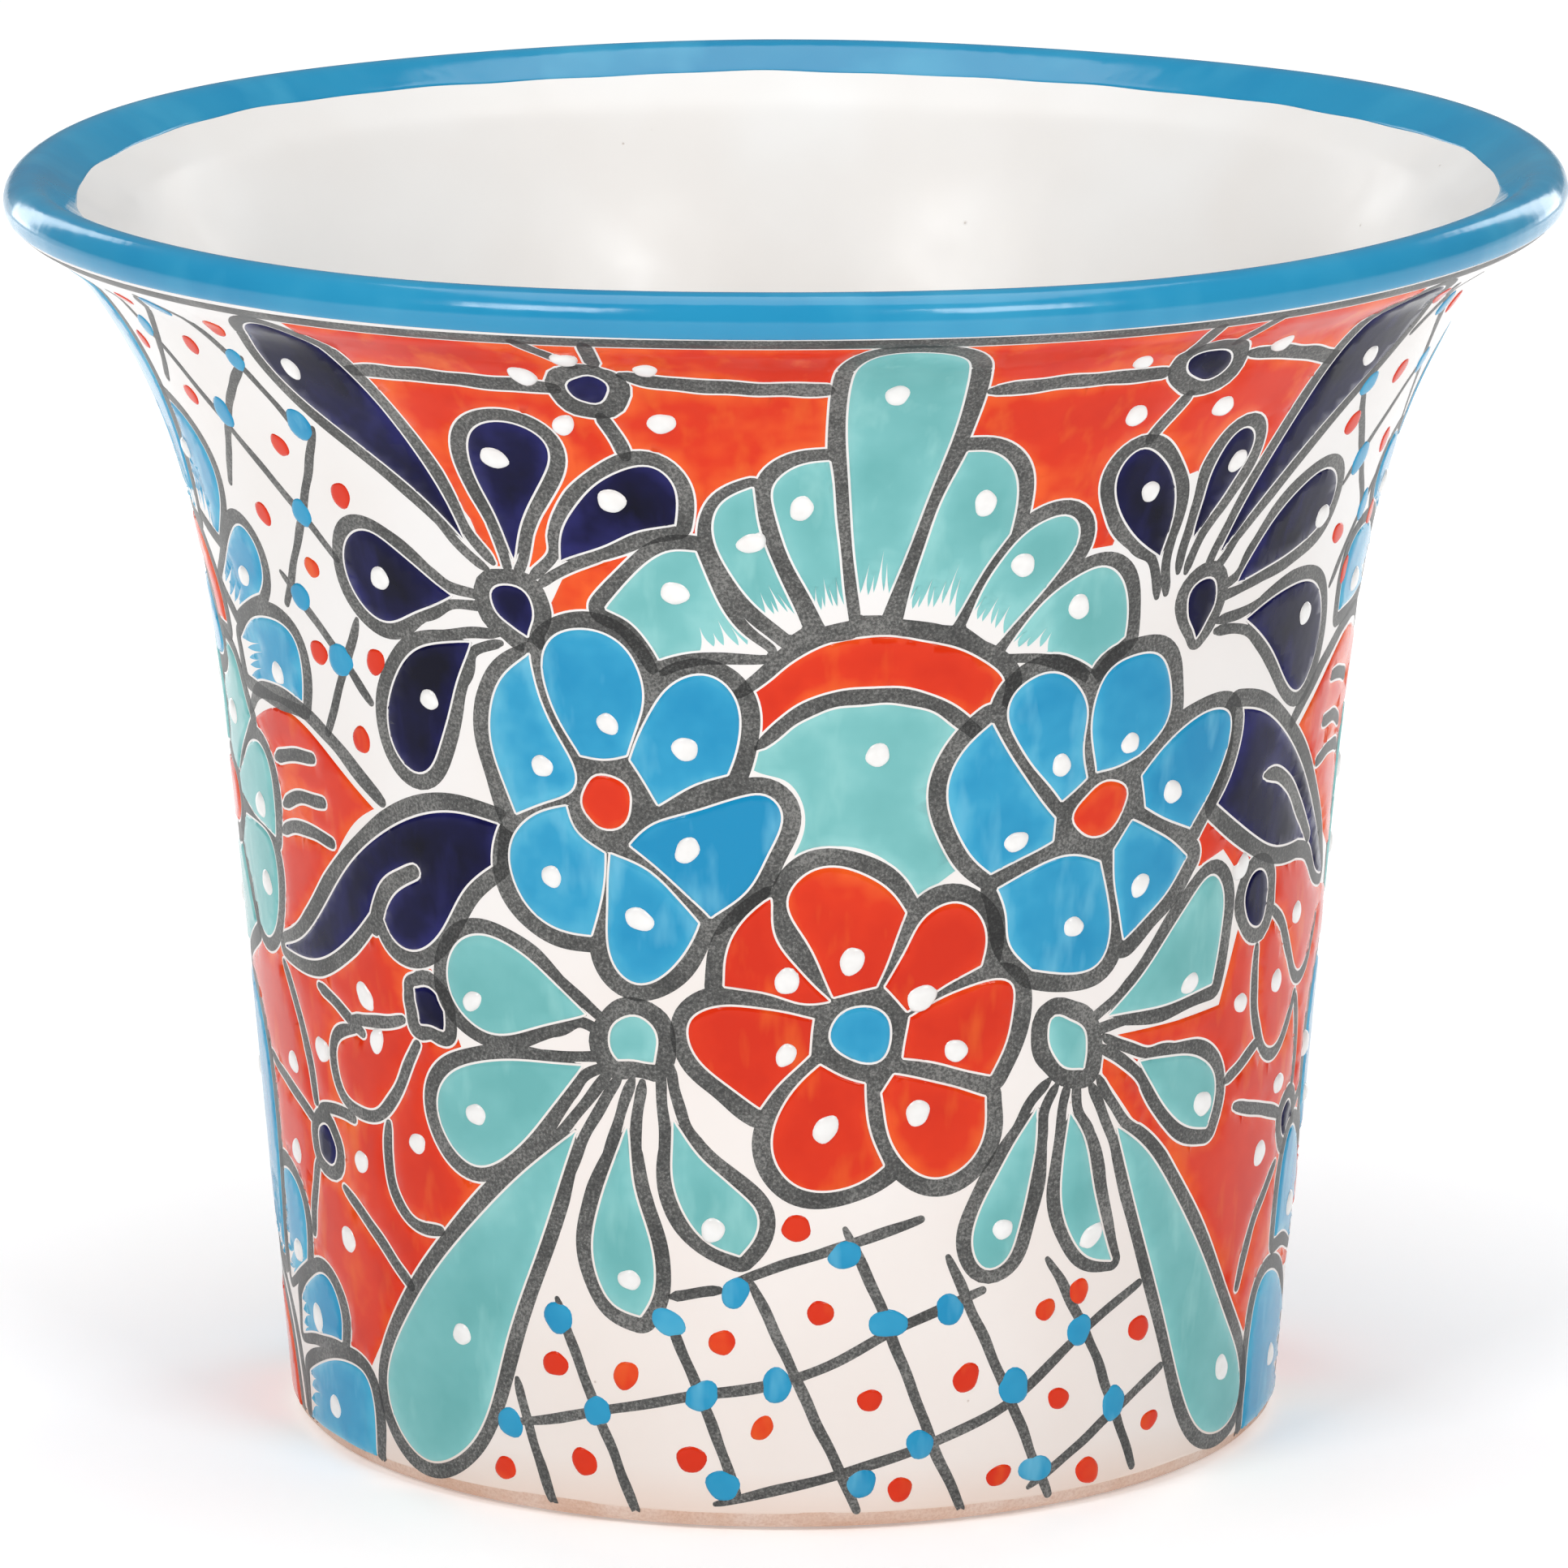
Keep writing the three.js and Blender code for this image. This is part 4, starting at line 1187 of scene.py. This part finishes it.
def laid_out():
    """Every curve on the flat page, with copies where a shape crosses the page's edge."""
    points, edges, placed = [], [], []
    count = 0
    outline_room, past_page = 8, 4
    for shape in paintings:
        middle_u = math.radians(shape["middle"]) * page_radius
        reach = np.abs(to_page(shape["line"], shape["middle"])[:, 0] - middle_u).max() + outline_room
        for shift in (-full_turn, 0, full_turn):
            u = middle_u + shift
            if u + reach < page_left - past_page or u - reach > page_right + past_page:
                continue
            placed.append((shape, shift))
            for curve, closed in curves_of(shape):
                page = to_page(curve, shape["middle"]) + (shift, 0)
                n = len(page)
                points.append(page)
                first = np.arange(n if closed else n - 1) + count
                after = np.where(first + 1 < count + n, first + 1, count)
                edges.append(np.column_stack([first, after]))
                count += n
    # the page's two edges, and a slightly shaken grid that carries the pot's curve in between
    low, high = outside_at(page_foot), outside_at(pot_height - lip_end_radius)
    edge_step, grid_step = 2.5, 2.6
    draw = np.random.default_rng(7)
    for edge in (page_left, page_right):
        rise = np.arange(low, high, edge_step)
        points.append(np.column_stack([np.full(len(rise), edge), rise]))
        first = np.arange(len(rise) - 1) + count
        edges.append(np.column_stack([first, first + 1]))
        count += len(rise)
    columns = np.arange(page_left + 1.5, page_right - 1, grid_step)
    across, up = np.meshgrid(columns, np.arange(low, high, grid_step))
    grid = np.column_stack([across.ravel(), up.ravel()]) + draw.uniform(-0.5, 0.5, (across.size, 2))
    points.append(grid)
    return np.vstack(points), np.vstack(edges), placed


def painted_page():
    """Cuts the page into triangles along every curve and paints the shapes one over the other."""
    points, edges, placed = laid_out()
    widest_outline, same_point = 7, 1e-4
    result = delaunay_2d_cdt([Vector(p) for p in points.tolist()], edges.tolist(), [], 0, same_point, False)
    vertices = np.array([tuple(v) for v in result[0]])
    triangles = np.array([f for f in result[2] if len(f) == 3])
    middles = vertices[triangles].mean(1)
    colours = list(glazes)
    fill = np.zeros(len(triangles), int)
    line = np.zeros(len(triangles), int)
    tone = np.zeros(len(triangles))
    fill_piece, line_piece = np.full((2, len(triangles)), -1)
    line_group, fill_group, edge_group = np.full((3, len(triangles)), -1)
    pieces = sorted({shape["piece"] for shape in paintings})
    groups = sorted({shape["group"] for shape in paintings})
    order = np.argsort(middles[:, 0])
    sorted_u = middles[order, 0]
    for shape, shift in placed:
        page = to_page(shape["line"], shape["middle"]) + (shift, 0)
        (u0, v0), (u1, v1) = page.min(0) - widest_outline, page.max(0) + widest_outline
        some = order[np.searchsorted(sorted_u, u0):np.searchsorted(sorted_u, u1)]
        some = some[(middles[some, 1] > v0) & (middles[some, 1] < v1)]
        distance, brush, inside = nearest(shape, from_page(middles[some] - (shift, 0), shape["middle"]))
        piece, group = pieces.index(shape["piece"]), groups.index(shape["group"])
        if shape["kind"] == "scratch":
            fill[some[inside]] = 0
            continue
        if shape["kind"] == "field":
            fill[some[inside]] = 0
            stroke = np.zeros(len(some), bool)
        elif shape["kind"] == "stroke":
            stroke = distance < brush / 2
            fill[some[distance < brush / 2 + gap]] = 0
        else:
            # petals of one flower share the lines between them, so a ring never eats its own group
            own = ((fill[some] > 0) & (fill_group[some] == group)) | (edge_group[some] == group)
            stroke = ~inside & ~own & (distance >= gap) & (distance < gap + brush)
            fill[some[inside | (distance < gap) | (~own & (distance < 2 * gap + brush))]] = 0
            line[some[inside | (distance < gap)]] = 0
            edge_group[some[inside]] = -1
            edge_group[some[~inside & (distance < gap)]] = group
        drawn = some[stroke]
        crossing = (line[drawn] > 0) & (line_group[drawn] != group)
        line[drawn] = np.where(crossing, 2, 1)
        line_group[drawn] = group
        line_piece[drawn] = piece
        if shape["colour"]:
            inner = some[inside & (line[some] == 0)]
            fill[inner] = colours.index(shape["colour"]) + 1
            fill_piece[inner] = piece
            fill_group[inner] = group
            tone[inner] = shape["tone"]
    on_page = (middles[:, 0] > page_left) & (middles[:, 0] < page_right)
    keep = on_page & (middles[:, 1] > outside_at(page_foot))
    kept = [column[keep] for column in (triangles, fill, line, tone, fill_piece, line_piece)]
    return vertices, *kept, pieces


def joined_round_the_pot(vertices, triangles):
    """Joins the page's two edges and any doubled points. Gives each point's turn, its distance
    along the section and its place, then the triangles and which of them still have an area."""
    turn, s = vertices[:, 0] / page_radius, vertices[:, 1]
    flat = on_pot(turn, s, np.zeros(len(s))) / MM
    _, first, same = np.unique(np.round(flat, 2), axis=0, return_index=True, return_inverse=True)
    triangles = same.ravel()[triangles]
    a, b, c = triangles.T
    return turn[first], s[first], flat[first], triangles, (a != b) & (b != c) & (a != c)


def sides_of(triangles):
    return np.concatenate([triangles[:, [0, 1]], triangles[:, [1, 2]], triangles[:, [2, 0]]])


def side_code(sides, count):
    """One number for each side, the same whichever way the side is drawn."""
    return np.sort(sides, axis=1) @ np.array([count, 1])


def depth_inside(flat, triangles, region):
    """How far each painted point lies from the nearest edge of its region, in millimetres."""
    sides = sides_of(triangles)
    code = side_code(sides, len(flat))
    owner = np.tile(region, 3)
    order = np.argsort(code, kind="stable")
    code, owner, sides = code[order], owner[order], sides[order]
    inner = np.flatnonzero((code[1:] == code[:-1]) & (owner[1:] == owner[:-1]))
    on_edge = np.ones(len(code), bool)
    on_edge[inner] = False
    on_edge[inner + 1] = False
    edge_points = np.unique(sides[on_edge])
    tree = KDTree(len(edge_points))
    for i in edge_points.tolist():
        tree.insert(flat[i], i)
    tree.balance()
    used = np.unique(triangles[region > 0])
    depth = np.zeros(len(flat))
    depth[used] = [tree.find(p)[2] for p in flat[used].tolist()]
    return depth


def layer_of_glaze(name, top, under, faces, materials, finish):
    """A closed layer between two copies of some triangles, with a crisp wall round every edge."""
    count = len(top)
    code = side_code(sides_of(faces), count)
    _, where, times = np.unique(code, return_index=True, return_counts=True)
    rim = sides_of(faces)[where[times == 1]]
    walls = np.column_stack([rim[:, 1], rim[:, 0], rim[:, 0] + count, rim[:, 1] + count])
    all_faces = faces.tolist() + (faces[:, ::-1] + count).tolist() + walls.tolist()
    finishes = np.concatenate([finish, finish, np.zeros(len(walls), int)])
    obj = solid(name, np.vstack([top, under]), all_faces, materials, finishes)
    mesh = obj.data
    ends = np.zeros(len(mesh.edges) * 2, int)
    mesh.edges.foreach_get("vertices", ends)
    crisp = np.isin(side_code(ends.reshape(-1, 2), 2 * count), side_code(rim, 2 * count))
    sharp = mesh.attributes.get("sharp_edge") or mesh.attributes.new("sharp_edge", "BOOLEAN", "EDGE")
    sharp.data.foreach_set("value", crisp)
    return obj


def painted_glazes():
    """Lifts the painted regions off the page on to the pot as thin, rounded layers of glaze."""
    vertices, triangles, fill, line, tone, fill_piece, line_piece, pieces = painted_page()
    turn, s, flat, triangles, good = joined_round_the_pot(vertices, triangles)
    triangles, fill, line, tone = triangles[good], fill[good], line[good], tone[good]
    fill_piece, line_piece = fill_piece[good], line_piece[good]
    outlined = len(glazes) + 1
    edge_rounding, sunk, edge_height, full_pool = 0.9, 0.25, 0.02, 3.0
    depth = depth_inside(flat, triangles, np.where(line > 0, outlined, fill))
    layers = (("", (line == 0) & (fill > 0), fill_piece, 0.34), ("_outline", line > 0, line_piece, 0.07))
    for ending, painted, owners, crown in layers:
        height = edge_height + crown * rounded(depth / edge_rounding)
        for number in np.unique(owners[painted]):
            mine = painted & (owners == number)
            local, index = np.unique(triangles[mine], return_inverse=True)
            faces = index.reshape(-1, 3)
            top = on_pot(turn[local], s[local], height[local])
            under = on_pot(turn[local], s[local], np.full(len(local), -sunk))
            if ending:
                materials, finish = [line_grey, line_dark], line[mine] - 1
            else:
                present, finish = np.unique(fill[mine], return_inverse=True)
                materials = [list(glazes.values())[k - 1] for k in present]
            obj = layer_of_glaze(pieces[number] + ending, top, under, faces, materials, finish)
            store(obj, "pool", np.tile(np.clip(depth[local] / full_pool, 0, 1), 2))
            if not ending:
                shade = np.zeros(len(local))
                shade[faces.ravel()] = np.repeat(tone[mine], 3)
                store(obj, "tone", np.tile(shade, 2))


dot_rings, dot_spokes = 7, 22


def dot_points(a, z, across, high, flat):
    """The rings of one dot from its middle outwards and down into the glaze. The hand that dabs
    it makes each one a little larger, longer or more ragged than the next."""
    draw = random.Random(f"{a:.2f} {z:.2f}")
    size = across / 2 * draw.uniform(0.86, 1.12)
    lean, long = draw.uniform(0, math.pi), draw.uniform(1.0, 1.16)
    phases = [any_phase(draw) for _ in range(3)]
    t = np.linspace(0, 2 * math.pi, dot_spokes, endpoint=False)
    reach = size * (1 + 0.05 * np.sin(2 * t + phases[0]) + 0.035 * np.sin(3 * t + phases[1])
                    + 0.02 * np.sin(5 * t + phases[2]))
    edge_height, steepness = (0.04, 4) if flat else (0.2, 2.6)
    sunk = -0.12
    s = outside_at(z)
    rows = []
    for ring in range(dot_rings + 2):
        share = min(1.0, ring / dot_rings)
        x = reach * share * np.cos(t) * long
        y = reach * share * np.sin(t) / long
        across_wall = x * math.cos(lean) - y * math.sin(lean)
        up_wall = x * math.sin(lean) + y * math.cos(lean)
        rise = edge_height * (ring < dot_rings) + high * (1 - share ** steepness) ** 0.75
        lift = sunk if ring > dot_rings else rise
        radius = on_path(s + up_wall)[0]
        turn = math.radians(a) + across_wall / radius
        rows.append(on_pot(turn, s + up_wall, np.full(dot_spokes, lift)))
    return np.vstack([rows[0][:1]] + rows[1:])


def dot_faces(start):
    """A dot's faces: a fan round its middle, bands between its rings and a flat underside."""
    first = start + 1
    pairs = [(i, (i + 1) % dot_spokes) for i in range(dot_spokes)]
    faces = [[start, first + i, first + j] for i, j in pairs]
    for ring in range(dot_rings):
        near, far = first + ring * dot_spokes, first + (ring + 1) * dot_spokes
        faces += [[near + i, far + i, far + j, near + j] for i, j in pairs]
    faces.append([first + dot_rings * dot_spokes + i for i in reversed(range(dot_spokes))])
    return faces


def raised_dots():
    """White drops squeezed on to the leaves and petals, and dabbed lattice dots. Dots of one
    colour and one place make one piece."""
    groups = {}
    for piece, a, z, across, high, colour, flat in dots:
        groups.setdefault((piece, colour), []).append((a, z, across, high, flat))
    for (piece, colour), members in groups.items():
        points = [dot_points(*member) for member in members]
        faces = []
        for number in range(len(members)):
            faces += dot_faces(number * len(points[0]))
        name = piece + ("_" + colour + "_dots" if colour else "_drops")
        obj = solid(name, np.vstack(points), faces, [glazes[colour] if colour else drop_white])
        store(obj, "pool", 0.7)
        store(obj, "tone", 0.0)


# ---- the pot itself ----
blue_outside = outside_at(237.0)
blue_inside = path_length[crest] + 10.4
white_foot = outside_at(2.9)
clay_obj = clay_pot()
outside_obj = coat("white_glaze_outside", outside_white, lambda t: white_foot + wavy(t, 0.4, 3),
                   lambda t: np.full_like(t, blue_outside + 1.5), 0.0, glaze_coat)
inside_obj = coat("white_glaze_inside", inside_white_painted_shade, lambda t: np.full_like(t, blue_inside - 3.5),
                  lambda t: np.full_like(t, path_length[-1] - 2.0), 0.0, glaze_coat)
rim_obj = coat("blue_rim_glaze", rim_blue, lambda t: blue_outside + wavy(t, 0.25, 5),
               lambda t: blue_inside + wavy(t, 1.3, 11), 0.16, 0.4, 1.0, 720, 0.9)
store(rim_obj, "pool", 0.5)
store(rim_obj, "tone", 0.0)
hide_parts("clay_floor", "clay_wall", "clay_lip")
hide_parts("outer_glaze")
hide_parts("inner_glaze")
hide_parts("rim_glaze")
painted_glazes()
raised_dots()


# ---- studio ----
def studio_floor():
    """A wide round sheet of paper, a hair under the pot's foot."""
    mesh = bpy.data.meshes.new("studio_floor")
    reach, below, sides = 9, -0.0004, 96
    turns = np.linspace(0, 2 * math.pi, sides, endpoint=False)
    edge = [(reach * math.cos(t), reach * math.sin(t), below) for t in turns]
    mesh.from_pydata(edge, [], [list(range(sides))])
    mesh.materials.append(paper_with_painted_glow())
    floor = bpy.data.objects.new("studio_floor", mesh)
    bpy.context.scene.collection.objects.link(floor)


def soft_box(name, place, aim, width, height, power):
    """A large soft lamp, its place and aim in metres and its power in watts."""
    light = bpy.data.lights.new(name, "AREA")
    light.shape = "RECTANGLE"
    light.size, light.size_y, light.energy = width, height, power
    obj = bpy.data.objects.new(name, light)
    obj.location = place
    obj.rotation_euler = (Vector(aim) - Vector(place)).to_track_quat("-Z", "Y").to_euler()
    bpy.context.scene.collection.objects.link(obj)


studio_floor()
soft_box("left_key", (-1.4, -1.8, 1.8), (0, 0, 0.12), 0.9, 0.9, 27)
soft_box("right_key", (1.3, -1.9, 1.8), (0, 0, 0.12), 0.9, 0.9, 23.5)
soft_box("left_strip", (-0.85, 1.15, 0.55), (0, 0, 0.15), 0.35, 1.0, 3.5)
soft_box("right_strip", (0.85, 1.15, 0.55), (0, 0, 0.15), 0.35, 1.0, 3.5)
soft_box("overhead", (0.0, 0.1, 2.0), (0, 0.1, 0), 1.6, 1.6, 18)
world = bpy.data.worlds.new("studio")
world.use_nodes = True
world.node_tree.nodes.clear()
seen = add(world.node_tree, "ShaderNodeLightPath").outputs["Is Camera Ray"]
brightness = add(world.node_tree, "ShaderNodeMapRange", {"To Min": 0.22, "To Max": 0.95},
                 Value=seen).outputs[0]
sky = add(world.node_tree, "ShaderNodeBackground", {"Color": linear("#F7F8FA")}, Strength=brightness)
add(world.node_tree, "ShaderNodeOutputWorld", _0=sky.outputs[0])
bpy.context.scene.world = world
bpy.context.scene.view_settings.view_transform = "Standard"

# the camera looks slightly down on the middle of the pot with a long lens
target_height, distance, elevation = 0.122, 2.05, math.radians(13.0)
camera_data = bpy.data.cameras.new("camera")
camera_data.sensor_width = 36
camera_data.lens = 242.4
camera = bpy.data.objects.new("camera", camera_data)
camera.location = (0, -distance * math.cos(elevation), target_height + distance * math.sin(elevation))
camera.rotation_euler = (math.pi / 2 - elevation, 0, 0)
bpy.context.scene.collection.objects.link(camera)
bpy.context.scene.camera = camera
